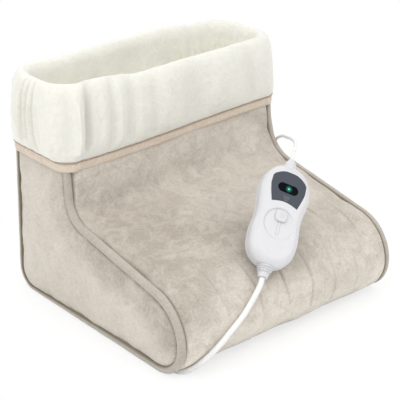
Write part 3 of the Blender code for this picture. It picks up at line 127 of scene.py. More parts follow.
# Cuff and trim: heights of the crest, of the turned-down edge and of the inner
# layer's foot, which is tucked into the lining, then the tape and its piping
CUFF_CREST = 261.8 * MM
CUFF_FOOT = 185.2 * MM
CUFF_SEAM = 193 * MM
CUFF_CORNER = 20 * MM
FOLD_HEIGHT = 4 * MM
TRIM_LOW = 174.5 * MM
TRIM_HIGH = 184.6 * MM
TRIM_OUT = 5.4 * MM
PIPING_RADIUS = 1.2 * MM

# Cords
LEAD_DIAMETER = 3.5 * MM
CORD_DIAMETER = 6 * MM
COIL_X = 25 * MM
COIL_Y = 214 * MM
COIL_OUTER_RADIUS = 42.9 * MM
COIL_PITCH = 6.6 * MM
COIL_LAYER_STEP = 6.7 * MM
COIL_TURNS_IN = 3
COIL_TURNS_OUT = 2.5
COIL_REVERSE_SHARE = 0.3
COIL_POINTS_PER_TURN = 36
COIL_FLOOR = 3.1 * MM
CORD_ROOM = 0.6 * MM
TAIL_LENGTH = 64 * MM
PLUG_AXIS_HEIGHT = 6.85 * MM

# Colours of the stitching's shadow line, and of the painted light on the velour near the
# floor, where the white floor throws light back, and high on the instep, below the cuff's shade
SEAM_COLOUR = (0.185, 0.155, 0.115)
PAINTED_LIGHT_COLOUR = (0.80, 0.745, 0.66)

# Controller, x across, y towards the lead and z out of the face
CONTROLLER_AT = (2.7 * MM, -118.4 * MM, 132 * MM)
CONTROLLER_UP = (0.670, 0.412, 0.618)
CONTROLLER_FACE = (-0.160, -0.725, 0.670)
BODY_LENGTH = 118 * MM
BODY_WIDTH_TOP = 57 * MM
BODY_WIDTH_WAIST = 51 * MM
BODY_WIDTH_LOW = 54.5 * MM
HALF_BODY = 12.5 * MM
BODY_EDGE = 9 * MM
PARTING_GAP = 0.3 * MM
DISH_Y = -12 * MM
DISH_RADIUS = 18 * MM
DISH_DEPTH = 1.4 * MM
FASCIA_TOP = 50 * MM
FASCIA_LOW = 10 * MM
FASCIA_WIDTH = 41.5 * MM
FASCIA_LOW_WIDTH = 31 * MM
WINDOW_Y = 30 * MM
WINDOW_LENGTH = 25 * MM
WINDOW_HEIGHT = 11.2 * MM
KNOB_Y = -2.7 * MM
KNOB_WIDTH = 13.4 * MM
KNOB_HEIGHT = 13.5 * MM
KNOB_RISE = 3 * MM
KNOB_SQUARENESS = 3.2
KNOB_RIB_PITCH = 2.2 * MM
TOP_RELIEF_LENGTH = 12 * MM
LOW_RELIEF_LENGTH = 12 * MM
RELIEF_BORE = 0.3 * MM
SEAM_GAP = 0.3 * MM
SLOT_LOW = DISH_Y - 13.2 * MM
SLOT_HIGH = KNOB_Y + 0.4 * MM

LEAD_ROUTE = in_metres((
    (64.8, -79, 182.9), (76, -68, 181.3), (89.7, -52, 176.6), (104.6, -32, 169.2),
    (119.1, -10, 160.7), (132.5, 8, 152.9), (146.5, 25, 144.5), (157.5, 42, 135.2),
    (163, 51.5, 129.2), (167, 60, 119), (169.5, 65, 98), (171, 67, 68), (173, 68, 38),
    (178, 71, 11), (188, 82, 3.2), (197, 93, 14), (199, 95, 38), (190, 93, 56),
))
LEAD_END = (178.1 * MM, 92 * MM, 60 * MM)

CORD_ROUTE = in_metres((
    (-63.8, -153.5, 70.4), (-79, -156.5, 59.3), (-95.3, -158, 49.5), (-107.8, -157.5, 39.9),
    (-117.2, -154, 30), (-124, -149, 21.5), (-129.6, -143, 13.5), (-134.8, -136.8, 7.6),
    (-139.4, -129.5, 4), (-142.6, -120, 3.1), (-143.8, -108, 3.1), (-143.4, -92, 3.1),
    (-141.5, -60, 3.1), (-139.8, -20, 3.1), (-139.5, 60, 3.1), (-139.2, 120, 3.1),
    (-134, 147, 3.1), (-115, 167, 3.1), (-88, 175, 3.1), (-50, 174, 3.1), (-10, 172, 3.1),
))


class FootWarmerSettings(bpy.types.PropertyGroup):
    """Colours and amounts that a maker would change."""

    velour: FloatVectorProperty(
        name="Velour", description="Front and heel panel colour", subtype="COLOR",
        default=(0.57, 0.521, 0.457),
    )
    # The shade colour also serves the painted shade beside the seams and in the marked areas
    velour_shade: FloatVectorProperty(
        name="Velour shade", description="Where the nap lies the other way", subtype="COLOR",
        default=(0.375, 0.335, 0.282),
    )
    side_velour: FloatVectorProperty(
        name="Side velour", description="Side panel colour", subtype="COLOR", default=(0.607, 0.559, 0.49)
    )
    binding: FloatVectorProperty(
        name="Binding", description="Seam binding colour", subtype="COLOR", default=(0.452, 0.412, 0.357)
    )
    fleece: FloatVectorProperty(
        name="Fleece", description="Cuff and lining colour", subtype="COLOR", default=(0.985, 0.972, 0.87)
    )
    trim: FloatVectorProperty(
        name="Trim", description="Tape along the cuff's lower edge", subtype="COLOR",
        default=(0.655, 0.566, 0.473),
    )
    plastic: FloatVectorProperty(
        name="Plastic", description="Controller housing colour", subtype="COLOR",
        default=(0.615, 0.615, 0.631),
    )
    swell_limit: FloatProperty(
        name="Swell limit", description="Furthest that the cloth may move", unit="LENGTH",
        default=4 * MM, min=0.0,
    )
    lamp_power: FloatProperty(
        name="Lamp power", description="Power of the main lamp in watts", default=9.8, min=0.0
    )


# Mesh building


def skin(rings, looped=True, joined=False, capped=False):
    """A surface through outlines of equal point counts, each extruded from the last."""
    bm = bmesh.new()
    place = bm.verts.layers.int.new("place")
    first = [bm.verts.new(point) for point in rings[0]]
    for index, vert in enumerate(first):
        vert[place] = index
    pairs = list(zip(first, first[1:]))
    if looped:
        pairs.append((first[-1], first[0]))
    start = [bm.edges.new(pair) for pair in pairs]
    edges = start
    for ring in rings[1:]:
        made = bmesh.ops.extrude_edge_only(bm, edges=edges)["geom"]
        verts = {item for item in made if isinstance(item, bmesh.types.BMVert)}
        for vert in verts:
            vert.co = ring[vert[place]]
        sides = [item for item in made if isinstance(item, bmesh.types.BMEdge)]
        edges = [edge for edge in sides if verts.issuperset(edge.verts)]
    if joined:
        bmesh.ops.bridge_loops(bm, edges=start + edges)
    if capped:
        bmesh.ops.holes_fill(bm, edges=start + edges, sides=0)
    return bm


def face_outwards(bm, direction=None):
    """Faces of a closed form outwards, or those of an open sheet along a direction."""
    bmesh.ops.recalc_face_normals(bm, faces=bm.faces[:])
    if direction is not None:
        bm.normal_update()
        lean = sum(face.normal.dot(direction) * face.calc_area() for face in bm.faces)
        if lean < 0:
            bmesh.ops.reverse_faces(bm, faces=bm.faces[:])


def new_object(name, data):
    """An object in the scene."""
    made = bpy.data.objects.new(name, data)
    bpy.context.scene.collection.objects.link(made)
    return made


def add_piece(name, bm, material, nodes=(), body="boot", smooth_angle=60):
    """Turn a bmesh into a piece that rides on a body and stands for its solids."""
    mesh = bpy.data.meshes.new(name)
    bm.to_mesh(mesh)
    bm.free()
    mesh.shade_smooth()
    mesh.set_sharp_from_angle(angle=radians(smooth_angle))
    mesh.materials.append(material)
    piece = new_object(name, mesh)
    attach(piece, body)
    if nodes:
        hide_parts(*nodes)
    return piece


def slouch(bm):
    """Turn the soft neck a little, as it stands in the photograph."""
    for vert in bm.verts:
        x, z = vert.co.x, vert.co.z
        share = smoothstep(x, -120 * MM, HALF_WIDTH) * smoothstep(z, 100 * MM, 170 * MM)
        cuff = smoothstep(z, 150 * MM, 176 * MM) * (1 - smoothstep(z, 190 * MM, 240 * MM))
        vert.co += Vector((0, NECK_TURN * share, NECK_LIFT * share * cuff))
        left = 1 - smoothstep(vert.co.x - 1.7 * (vert.co.y - RIM_FRONT), -125 * MM, -60 * MM)
        vert.co.z += RIM_LIFT * left * smoothstep(vert.co.z, 196 * MM, 256 * MM)


def add_soft_piece(name, bm, direction, material, nodes):
    """Face a soft form outwards, turn it with the neck and make it a piece."""
    face_outwards(bm, direction)
    slouch(bm)
    return add_piece(name, bm, material, nodes)


def crease_at(x, share):
    """Depth of the toe's upright creases as a share, across and along the front."""
    crease = 0.0
    for place, strength, start, end in CREASES:
        along = smoothstep(share, start, start + 0.09) * (1 - smoothstep(share, end - 0.07, end))
        along *= 0.65 + 0.6 * lumps((place, share, 0.0), 0.07, 2.4)
        crease += strength * along * bell(x, place, CREASE_WIDTH)
    return crease


def crease_wander(x, share):
    """How far the creases, and the cloth's columns with them, bend sideways."""
    return 7 * MM * lumps((x, share / 4, 0.0), 62 * MM, 8.8) * smoothstep(share, 0.3, 0.5)


def front_painted_shade(place):
    """Painted shade on the front: beside its left seam, where the padding falls away, less beside
    the right and less up under the cuff, with broad darker patches left of the middle and across the instep,
    none near the floor.
    """
    reach = 34 * MM + 42 * MM * bell(place.z, 115 * MM, 34 * MM)
    left = 1 - smoothstep(place.x + HALF_WIDTH, 0.25 * reach, 1.3 * reach)
    right = 1 - smoothstep(HALF_WIDTH - place.x, 8 * MM, 40 * MM)
    left *= 1 - 0.55 * smoothstep(place.z, 122 * MM, 146 * MM)
    aside = place.x + 85 * MM + 0.4 * place.y
    middle = bell(aside, 0, 34 * MM - 0.3 * min(place.y, 0.0)) * bell(place.y, -58 * MM, 52 * MM)
    low = bell(place.x, -6 * MM, 74 * MM) * bell(place.z, 100 * MM, 38 * MM)
    painted_shade = 0.6 * left + 0.2 * right + 0.85 * middle + 0.2 * low
    return painted_shade * smoothstep(place.z, 12 * MM, 62 * MM)


def search_tree(points):
    tree = kdtree.KDTree(len(points))
    for index, point in enumerate(points):
        tree.insert(point, index)
    tree.balance()
    return tree


def mark(piece, name, value_at):
    """An attribute for the materials to read, with a value at each vertex."""
    values = piece.data.attributes.new(name, "FLOAT", "POINT").data
    for vert in piece.data.vertices:
        values[vert.index].value = value_at(vert)


def mark_seams(piece, border):
    """Shade of the seams, from 1 in the stitching to 0 out on the cloth."""
    tree = search_tree([piece.data.vertices[index].co for index in border])
    mark(piece, "seam", lambda vert: 1 - smoothstep(tree.find(vert.co)[2], 0.0, SEAM_LINE))


def dress(node, material):
    """Give a solid that keeps its shape a better material."""
    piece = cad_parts[node]
    piece.data.materials.clear()
    piece.data.materials.append(material)


def refine(piece):
    """Round a panel's facets once its form is settled."""
    finish = piece.modifiers.new("refine", "SUBSURF")
    finish.levels = 1
    finish.render_levels = 1


def smoothstep(value, low, high):
    share = min(max((value - low) / (high - low), 0.0), 1.0)
    return share * share * (3 - 2 * share)


def bell(value, centre, width):
    return exp(-(((value - centre) / width) ** 2))


def lumps(point, size, seed):
    """Soft unevenness from -1 to 1, the same on every run."""
    return noise.noise(Vector(point) / size + Vector((seed, seed, seed)))


def fillet(before, corner, after, radius, steps=18):
    """Points on the arc that rounds a corner."""
    back = (before - corner).normalized()
    ahead = (after - corner).normalized()
    half = back.angle(ahead) / 2
    start = corner + back * (radius / tan(half))
    centre = corner + (back + ahead).normalized() * (radius / sin(half))
    turn = pi - 2 * half
    sign = 1 if (-back).cross(ahead) > 0 else -1
    spoke = start - centre
    points = []
    for index in range(steps + 1):
        angle = sign * turn * index / steps
        points.append(centre + Matrix.Rotation(angle, 2) @ spoke)
    return points


def run_lengths(line):
    """Length of a line up to each of its points."""
    lengths = [0.0]
    for a, b in zip(line, line[1:]):
        lengths.append(lengths[-1] + (b - a).length)
    return lengths


def length_shares(line):
    lengths = run_lengths(line)
    return [length / lengths[-1] for length in lengths]


def even_points(line, step):
    """The same line with its points evenly spaced, about a step apart."""
    lengths = run_lengths(line)
    count = max(2, round(lengths[-1] / step))
    points = []
    index = 0
    for part in range(count + 1):
        target = lengths[-1] * part / count
        while index < len(lengths) - 2 and lengths[index + 1] < target:
            index += 1
        share = (target - lengths[index]) / (lengths[index + 1] - lengths[index])
        points.append(line[index].lerp(line[index + 1], share))
    return points


def boot_line(step=PANEL_STEP):
    """The side profile, from the neck's front top round the toe to the rear top."""
    corners = [Vector(corner) for corner in PROFILE]
    line = [corners[0]]
    for before, corner, after, radius in zip(corners, corners[1:], corners[2:], PROFILE_RADII):
        line += fillet(before, corner, after, radius)
    return even_points(line + [corners[-1]], step)


def outward(line):
    """Unit normals of the profile, out of the boot."""
    normals = []
    for index in range(len(line)):
        along = line[min(index + 1, len(line) - 1)] - line[max(index - 1, 0)]
        normals.append(Vector((along.y, -along.x)).normalized())
    return normals


def split_profile(line, normals):
    """Where the toe and heel seams lie along the profile."""
    toe = next(i for i, n in enumerate(normals) if n.y < -sin(TOE_SEAM_ANGLE) and line[i].x < 0)
    heel = next(i for i, n in enumerate(normals) if n.x > sin(HEEL_SEAM_ANGLE) and line[i].x > 0)
    return toe, heel


def settle_cloth(piece, pinned, pressure, slack, limit):
    """Let a sewn panel swell and pucker between its seams, and keep that form."""
    group = piece.vertex_groups.new(name="seam")
    group.add(pinned, 1.0, "REPLACE")
    cloth = piece.modifiers.new("swell", "CLOTH")
    settings = cloth.settings
    settings.quality = 5
    settings.mass = 0.15
    settings.tension_stiffness = 20
    settings.compression_stiffness = 20
    settings.shear_stiffness = 8
    settings.bending_stiffness = 0.6
    settings.shrink_min = -slack
    settings.shrink_max = -slack
    settings.use_pressure = True
    settings.uniform_pressure_force = pressure
    settings.vertex_group_mass = "seam"
    settings.effector_weights.gravity = 0
    cloth.collision_settings.use_collision = False
    scene = bpy.context.scene
    for number in range(1, CLOTH_FRAMES + 1):
        scene.frame_set(number)
    depsgraph = bpy.context.evaluated_depsgraph_get()
    settled = [vert.co.copy() for vert in piece.evaluated_get(depsgraph).data.vertices]
    piece.modifiers.remove(cloth)
    piece.vertex_groups.clear()
    scene.frame_set(1)
    for vert, place in zip(piece.data.vertices, settled):
        move = place - vert.co
        if move.length > limit:
            move *= limit / move.length
        vert.co += move


def wall_in(piece, thickness):
    """Close a settled sheet with a wall on its inner side."""
    wall = piece.modifiers.new("wall", "SOLIDIFY")
    wall.thickness = thickness
    wall.offset = -1
    wall.use_even_offset = False


# Materials


def new_tree(name):
    material = bpy.data.materials.new(name)
    material.use_nodes = True
    return material, material.node_tree, material.node_tree.nodes["Principled BSDF"]


def put(tree, socket, value):
    """Link a socket to another one, or set its value."""
    if isinstance(value, bpy.types.NodeSocket):
        tree.links.new(value, socket)
    else:
        socket.default_value = value


def feed(tree, node, values):
    for name, value in values.items():
        put(tree, node.inputs[name], value)


def map_range(tree, source, low, high, to_low=0.0, to_high=1.0):
    node = tree.nodes.new("ShaderNodeMapRange")
    node.interpolation_type = "SMOOTHSTEP"
    ends = {"From Min": low, "From Max": high, "To Min": to_low, "To Max": to_high}
    feed(tree, node, {"Value": source, **ends})
    return node.outputs["Result"]


def math_node(tree, operation, first, second):
    node = tree.nodes.new("ShaderNodeMath")
    node.operation = operation
    for socket, value in zip(node.inputs, (first, second)):
        put(tree, socket, value)
    return node.outputs[0]


def times(tree, first, second):
    return math_node(tree, "MULTIPLY", first, second)


def plus(tree, first, second):
    return math_node(tree, "ADD", first, second)


def mix_colour(tree, factor, first, second, blend="MIX"):
    node = tree.nodes.new("ShaderNodeMix")
    node.data_type = "RGBA"
    node.blend_type = blend
    for name, value in (("Factor", factor), ("A", first), ("B", second)):
        put(tree, next(s for s in node.inputs if s.name == name and s.enabled), value)
    return next(s for s in node.outputs if s.enabled)


def toned(tree, colour, tone):
    """A colour made darker or lighter by a tone."""
    grey = tree.nodes.new("ShaderNodeCombineColor")
    for socket in grey.inputs:
        tree.links.new(tone, socket)
    return mix_colour(tree, 1.0, colour, grey.outputs[0], "MULTIPLY")


def mix_shaders(tree, share, first, second, out):
    mix = tree.nodes.new("ShaderNodeMixShader")
    for socket, source in zip(mix.inputs, (share, first, second)):
        tree.links.new(source, socket)
    tree.links.new(mix.outputs[0], out.inputs["Surface"])


def object_place(tree):
    return tree.nodes.new("ShaderNodeTexCoord").outputs["Object"]


def height_of(tree, place):
    split = tree.nodes.new("ShaderNodeSeparateXYZ")
    tree.links.new(place, split.inputs[0])
    return split.outputs["Z"]


def noise_field(tree, vector, scale, detail=3.0, roughness=0.55, distortion=0.0):
    node = tree.nodes.new("ShaderNodeTexNoise")
    form = {"Detail": detail, "Roughness": roughness, "Distortion": distortion}
    feed(tree, node, {"Vector": vector, "Scale": scale, **form})
    return node.outputs["Fac"]


def new_group(name, inputs, outputs):
    """A shader node group with named inputs and outputs, made once."""
    tree = bpy.data.node_groups.new(name, "ShaderNodeTree")
    for label, kind, value in inputs:
        socket = tree.interface.new_socket(label, in_out="INPUT", socket_type=f"NodeSocket{kind}")
        if value is not None:
            socket.default_value = value
    for label, kind in outputs:
        tree.interface.new_socket(label, in_out="OUTPUT", socket_type=f"NodeSocket{kind}")
    return tree, tree.nodes.new("NodeGroupInput").outputs, tree.nodes.new("NodeGroupOutput").inputs


def pile_group():
    """Short nap: patches where it lies the other way and the fine pile itself, with painted shade
    along the seams and creases and where it is marked on the mesh, and painted light near the floor and
    below the cuff.
    """
    if "short_pile" in bpy.data.node_groups:
        return bpy.data.node_groups["short_pile"]
    tree, given, out = new_group(
        "short_pile",
        (
            ("Vector", "Vector", None),
            ("Base", "Color", (0.6, 0.55, 0.48, 1)),
            ("Shade", "Color", (0.45, 0.4, 0.34, 1)),
            ("Patch Scale", "Float", 22.0),
            ("Patch Amount", "Float", 0.6),
            ("Pile Scale", "Float", 900.0),
            ("Seam", "Float", 0.0),
            ("Painted_Shade", "Float", 0.0),
            ("Painted Light", "Float", 0.0),
        ),
        (("Color", "Color"), ("Roughness", "Float"), ("Height", "Float")),
    )
    vector, patches, shade_amount = given["Vector"], given["Patch Scale"], given["Painted_Shade"]
    broad = noise_field(tree, vector, patches, 3, 0.55, 0.7)
    strokes = noise_field(tree, vector, times(tree, patches, 5.1), 3, 0.65, 0.8)
    blend = plus(tree, times(tree, broad, 0.55), times(tree, strokes, 0.45))
    patch = map_range(tree, blend, 0.38, 0.62)
    grain = noise_field(tree, vector, times(tree, given["Pile Scale"], 0.42), 2, 0.6)
    pile = noise_field(tree, vector, given["Pile Scale"], 2, 0.6)
    # Painted shade where it is marked on the mesh, uneven with the nap's patches
    painted_shade = times(tree, shade_amount, map_range(tree, blend, 0.36, 0.64, 0.55, 1.15))
    loose = times(tree, given["Patch Amount"], map_range(tree, shade_amount, 0.0, 1.0, 1.0, 0.3))
    amount = plus(tree, times(tree, patch, loose), painted_shade)
    height = height_of(tree, vector)
    # Painted light: lighter towards the floor and high on the instep below the cuff, with calmer patches
    # there
    low = map_range(tree, height, 0.01, 0.11, 1.0, 0.0)
    high = map_range(tree, height, 0.118, 0.15, 0.0, 0.4)
    lift = times(tree, plus(tree, low, high), given["Painted Light"])
    base = mix_colour(tree, lift, given["Base"], (*PAINTED_LIGHT_COLOUR, 1))
    amount = times(tree, amount, map_range(tree, lift, 0.0, 1.0, 1.0, 0.5))
    amount = math_node(tree, "MINIMUM", amount, 1.0)
    brushed = noise_field(tree, vector, times(tree, patches, 5.6), 2, 0.5, 2.6)
    contour = math_node(tree, "ABSOLUTE", math_node(tree, "SUBTRACT", brushed, 0.5), 0.0)
    stroke = map_range(tree, contour, 0.004, 0.045, 0.26, 0.0)
    stroke = times(tree, stroke, map_range(tree, strokes, 0.42, 0.6))
    colour = mix_colour(tree, plus(tree, amount, stroke), base, given["Shade"])
    speck = map_range(tree, grain, 0.3, 0.7, 0.93, 1.05)
    fuzz = map_range(tree, pile, 0.3, 0.7, 0.95, 1.04)
    nap = toned(tree, colour, times(tree, speck, fuzz))
    # Painted shade in the seams' grooves and along the toe's creases
    seam_shadow = times(tree, given["Seam"], 0.9)
    tree.links.new(mix_colour(tree, seam_shadow, nap, (*SEAM_COLOUR, 1)), out["Color"])
    tree.links.new(map_range(tree, patch, 0.0, 1.0, 0.82, 0.96), out["Roughness"])
    tree.links.new(plus(tree, times(tree, pile, 0.35), times(tree, blend, 0.65)), out["Height"])
    return tree


def fleece_group():
    """Deep fleece: rounded tufts, with finer fibres on them, painted shade in the hollows between
    the tufts, and more painted shade where Outside is given.
    """
    if "fleece_tufts" in bpy.data.node_groups:
        return bpy.data.node_groups["fleece_tufts"]
    tree, given, out = new_group(
        "fleece_tufts",
        (
            ("Vector", "Vector", None),
            ("Base", "Color", (0.86, 0.85, 0.76, 1)),
            ("Shade", "Color", (0.7, 0.69, 0.58, 1)),
            ("Tuft Scale", "Float", 190.0),
            ("Outside", "Float", 0.0),
        ),
        (("Color", "Color"), ("Height", "Float")),
    )
    vector, scale = given["Vector"], given["Tuft Scale"]
    tufts = noise_field(tree, vector, scale, 3, 0.6, 0.8)
    fibres = noise_field(tree, vector, times(tree, scale, 5.0), 2, 0.6)
    drift = noise_field(tree, vector, 24.0, 3, 0.6, 0.6)
    height = plus(tree, times(tree, tufts, 0.75), times(tree, fibres, 0.25))
    # Painted shade in the hollows between the tufts
    hollow_shade = map_range(tree, height, 0.3, 0.58, 0.2, 0.0)
    amount = plus(tree, hollow_shade, map_range(tree, drift, 0.4, 0.7, 0.0, 0.08))
    # Painted shade over the cuff's crest and outer layer, and in its folds' valleys
    amount = plus(tree, amount, times(tree, given["Outside"], 0.78))
    tree.links.new(mix_colour(tree, amount, given["Base"], given["Shade"]), out["Color"])
    tree.links.new(height, out["Height"])
    return tree


def moulded_group():
    """Moulded plastic: faint grain and slight changes of gloss."""
    if "moulded_plastic" in bpy.data.node_groups:
        return bpy.data.node_groups["moulded_plastic"]
    tree, given, out = new_group(
        "moulded_plastic",
        (
            ("Vector", "Vector", None),
            ("Base", "Color", (0.8, 0.8, 0.82, 1)),
            ("Gloss", "Float", 0.35),
            ("Grain Scale", "Float", 1600.0),
        ),
        (("Color", "Color"), ("Roughness", "Float"), ("Height", "Float")),
    )
    grain = noise_field(tree, given["Vector"], given["Grain Scale"], 2, 0.5)
    smudge = noise_field(tree, given["Vector"], 60.0, 3, 0.6, 0.4)
    rough = plus(tree, given["Gloss"], map_range(tree, smudge, 0.4, 0.7, -0.04, 0.06))
    tone = map_range(tree, smudge, 0.35, 0.7, 0.985, 1.01)
    tree.links.new(toned(tree, given["Base"], tone), out["Color"])
    tree.links.new(rough, out["Roughness"])
    tree.links.new(grain, out["Height"])
    return tree


def place_group(tree, group, values, marks=()):
    """Put a group in a material, on Object coordinates and the mesh's marks."""
    node = tree.nodes.new("ShaderNodeGroup")
    node.node_tree = group
    feed(tree, node, {"Vector": object_place(tree), **values})
    for name in marks:
        read = tree.nodes.new("ShaderNodeAttribute")
        read.attribute_name = name
        tree.links.new(read.outputs["Fac"], node.inputs[name.title()])
    return node


def bump_from(tree, shader, height, distance):
    bump = tree.nodes.new("ShaderNodeBump")
    feed(tree, bump, {"Distance": distance, "Strength": 1.0, "Height": height})
    tree.links.new(bump.outputs["Normal"], shader.inputs["Normal"])


def velour_material(name, base, shade, patch_scale=22.0, patch_amount=0.6, relief=0.5 * MM, painted_light=0.0):
    """Velour with the nap's patches, with painted shade where seams, creases and shaded areas are marked
    on the mesh, and, when given, painted light near the floor and below the cuff.
    """
    material, tree, shader = new_tree(name)
    values = {
        "Base": (*base, 1), "Shade": (*shade, 1), "Patch Scale": patch_scale,
        "Patch Amount": patch_amount, "Painted Light": painted_light,
    }
    pile = place_group(tree, pile_group(), values, ("seam", "painted_shade"))
    feed(tree, shader, {
        "Base Color": pile.outputs["Color"], "Roughness": pile.outputs["Roughness"],
        "Sheen Weight": 0.25, "Sheen Roughness": 0.5, "Specular IOR Level": 0.15,
    })
    bump_from(tree, shader, pile.outputs["Height"], relief)
    return material


def fleece_material(name, base, shade):
    """Fleece with painted shade where "outside" is marked on the mesh: over the crest and the cuff's outer
    layer, and in its folds' valleys.
    """
    material, tree, shader = new_tree(name)
    values = {"Base": (*base, 1), "Shade": (*shade, 1)}
    tufts = place_group(tree, fleece_group(), values, ("outside",))
    feed(tree, shader, {
        "Base Color": tufts.outputs["Color"], "Roughness": 0.95,
        "Sheen Weight": 0.6, "Sheen Roughness": 0.6, "Specular IOR Level": 0.1,
    })
    bump_from(tree, shader, tufts.outputs["Height"], 1.2 * MM)
    return material


def plastic_material(name, base, gloss, grain=1600.0, relief=0.03 * MM, specular=0.5):
    material, tree, shader = new_tree(name)
    values = {"Base": (*base, 1), "Gloss": gloss, "Grain Scale": grain}
    moulded = place_group(tree, moulded_group(), values)
    feed(tree, shader, {
        "Base Color": moulded.outputs["Color"], "Roughness": moulded.outputs["Roughness"],
        "Specular IOR Level": specular,
    })
    bump_from(tree, shader, moulded.outputs["Height"], relief)
    return material


def metal_material(name, base, gloss):
    material = plastic_material(name, base, gloss, 900.0, 0.02 * MM)
    material.node_tree.nodes["Principled BSDF"].inputs["Metallic"].default_value = 1.0
    return material


def window_material(centre):
    """Dark window with the lit spot of the display behind it."""
    material, tree, shader = new_tree("display_window_gloss")
    away = tree.nodes.new("ShaderNodeVectorMath")
    away.operation = "DISTANCE"
    away.inputs[1].default_value = centre
    tree.links.new(object_place(tree), away.inputs[0])
    halo = map_range(tree, away.outputs["Value"], 0.6 * MM, 4.6 * MM, 1.0, 0.0)
    core = map_range(tree, away.outputs["Value"], 0.4 * MM, 1.7 * MM, 1.0, 0.0)
    glow = mix_colour(tree, halo, (0, 0, 0, 1), (0.02, 0.22, 0.17, 1))
    glow = mix_colour(tree, core, glow, (0.25, 0.80, 0.62, 1))
    feed(tree, shader, {
        "Base Color": (0.001, 0.003, 0.005, 1), "Roughness": 0.3, "Specular IOR Level": 0.03,
        "Emission Color": glow, "Emission Strength": 1.0,
    })
    return material


class Palette:
    """Every finish of the object, made once."""

    def __init__(self, settings):
        velour, shade = settings.velour, settings.velour_shade
        # The front's velour carries painted light near the floor and high on the instep
        self.velour = velour_material("beige_velour", velour, shade, 14.0, 0.42, painted_light=0.75)
        self.side = velour_material("side_velour", settings.side_velour, shade, 12.0, 0.16)
        self.binding = velour_material("binding_velour", settings.binding, shade, 40.0, 0.35, 0.3 * MM)
        # Shade colour for the fleece's painted shade
        self.fleece = fleece_material("ivory_fleece", settings.fleece, (0.70, 0.692, 0.628))
        self.trim = velour_material("trim_tape", settings.trim, (0.53, 0.42, 0.33), 60.0, 0.3, 0.25 * MM)
        self.piping = velour_material(
            "trim_piping", (0.42, 0.33, 0.25), (0.32, 0.25, 0.19), 60.0, 0.4, 0.3 * MM
        )
        self.sole = velour_material(
            "sole_cloth", (0.40, 0.37, 0.32), (0.30, 0.27, 0.24), 60.0, 0.4, 0.4 * MM
        )
        self.felt = velour_material("heater_felt", (0.75, 0.74, 0.70), (0.62, 0.6, 0.56), 80.0, 0.5)
        self.white = plastic_material("white_plastic", settings.plastic, 0.36)
        self.grey = plastic_material("grey_plastic", (0.058, 0.065, 0.083), 0.42, specular=0.2)
        self.mark = plastic_material("printed_mark", (0.17, 0.18, 0.2), 0.5)
        # A mid grey sheet of painted shade for the slider's slot
        self.shadow = plastic_material("slot_shadow_sheet", (0.5, 0.5, 0.52), 0.5)
        self.cord = plastic_material("white_cord", (0.765, 0.765, 0.757), 0.42, 700.0, 0.05 * MM)
        self.black = plastic_material("black_plastic", (0.03, 0.03, 0.03), 0.4)
        self.board = plastic_material("circuit_board", (0.03, 0.16, 0.07), 0.45, 500.0)
        self.wire = plastic_material("wire_sleeve", (0.5, 0.09, 0.06), 0.5)
        self.steel = metal_material("screw_steel", (0.58, 0.58, 0.60), 0.34)
        self.nickel = metal_material("plug_nickel", (0.72, 0.69, 0.63), 0.26)
        self.glow = plastic_material("indicator_lens", (0.08, 0.55, 0.40), 0.3)


def palette():
    if palette.made is None:
        palette.made = Palette(bpy.context.scene.foot_warmer)
    return palette.made


palette.made = None


# Cords


def catmull(before, start, end, after, share):
    """A point on the smooth curve from start to end, with knots spaced by distance."""
    first = sqrt((start - before).length)
    second = sqrt((end - start).length)
    third = sqrt((after - end).length)
    out = (start - before) / first - (end - before) / (first + second) + (end - start) / second
    into = (end - start) / second - (after - start) / (second + third) + (after - end) / third
    out, into = out * second, into * second
    square, cube = share**2, share**3
    return (
        start * (2 * cube - 3 * square + 1)
        + out * (cube - 2 * square + share)
        + end * (3 * square - 2 * cube)
        + into * (cube - square)
    )


def smooth_points(route, step):
    """Evenly spaced points on a smooth curve through a route, with straight ends."""
    places = [Vector(point) for point in route]
    dense = []
    for index in range(1, len(places) - 2):
        for part in range(12):
            dense.append(catmull(*places[index - 1 : index + 3], part / 12))
    dense.append(places[-2])
    return [places[0]] + even_points(dense, step) + [places[-1]]


def controller_matrix():
    up = Vector(CONTROLLER_UP).normalized()
    face = Vector(CONTROLLER_FACE)
    face = (face - up * face.dot(up)).normalized()
    turn = Matrix((up.cross(face), up, face)).transposed().to_4x4()
    return Matrix.Translation(CONTROLLER_AT) @ turn


def on_controller(x, y, z):
    return controller_matrix() @ Vector((x, y, z))


def lead_points():
    top = BODY_LENGTH / 2 + TOP_RELIEF_LENGTH + SEAM_GAP
    start = (on_controller(0, top, 0), on_controller(0, top + 2 * LEAD_DIAMETER, 0))
    run = Vector((2 * LEAD_DIAMETER, 0, 0))
    return smooth_points((*start, *LEAD_ROUTE, Vector(LEAD_END) + run, LEAD_END), LEAD_DIAMETER)


def coil_points():
    """The put-away cord: spirals in on the floor, climbs, and spirals out above."""
    inner = COIL_OUTER_RADIUS - COIL_TURNS_IN * COIL_PITCH
    turns = COIL_TURNS_IN + 0.5 + COIL_TURNS_OUT
    points = []
    for index in range(round(turns * COIL_POINTS_PER_TURN) + 1):
        turn = index / COIL_POINTS_PER_TURN
        climb = smoothstep(turn, COIL_TURNS_IN, COIL_TURNS_IN + 0.5)
        past = turn - COIL_TURNS_IN
        if past <= 0:
            radius = COIL_OUTER_RADIUS - turn * COIL_PITCH
        elif past < 0.5:
            radius = inner - COIL_REVERSE_SHARE * COIL_PITCH * sin(2 * pi * past)
        else:
            radius = inner + (past - 0.5) * COIL_PITCH
        angle = -pi / 2 + 2 * pi * turn
        place = (COIL_X + radius * cos(angle), COIL_Y + radius * sin(angle))
        points.append(Vector((*place, COIL_FLOOR + climb * COIL_LAYER_STEP)))
    run = Vector((CORD_DIAMETER, 0, 0))
    return [points[0] - run] + points + [points[-1] + run]


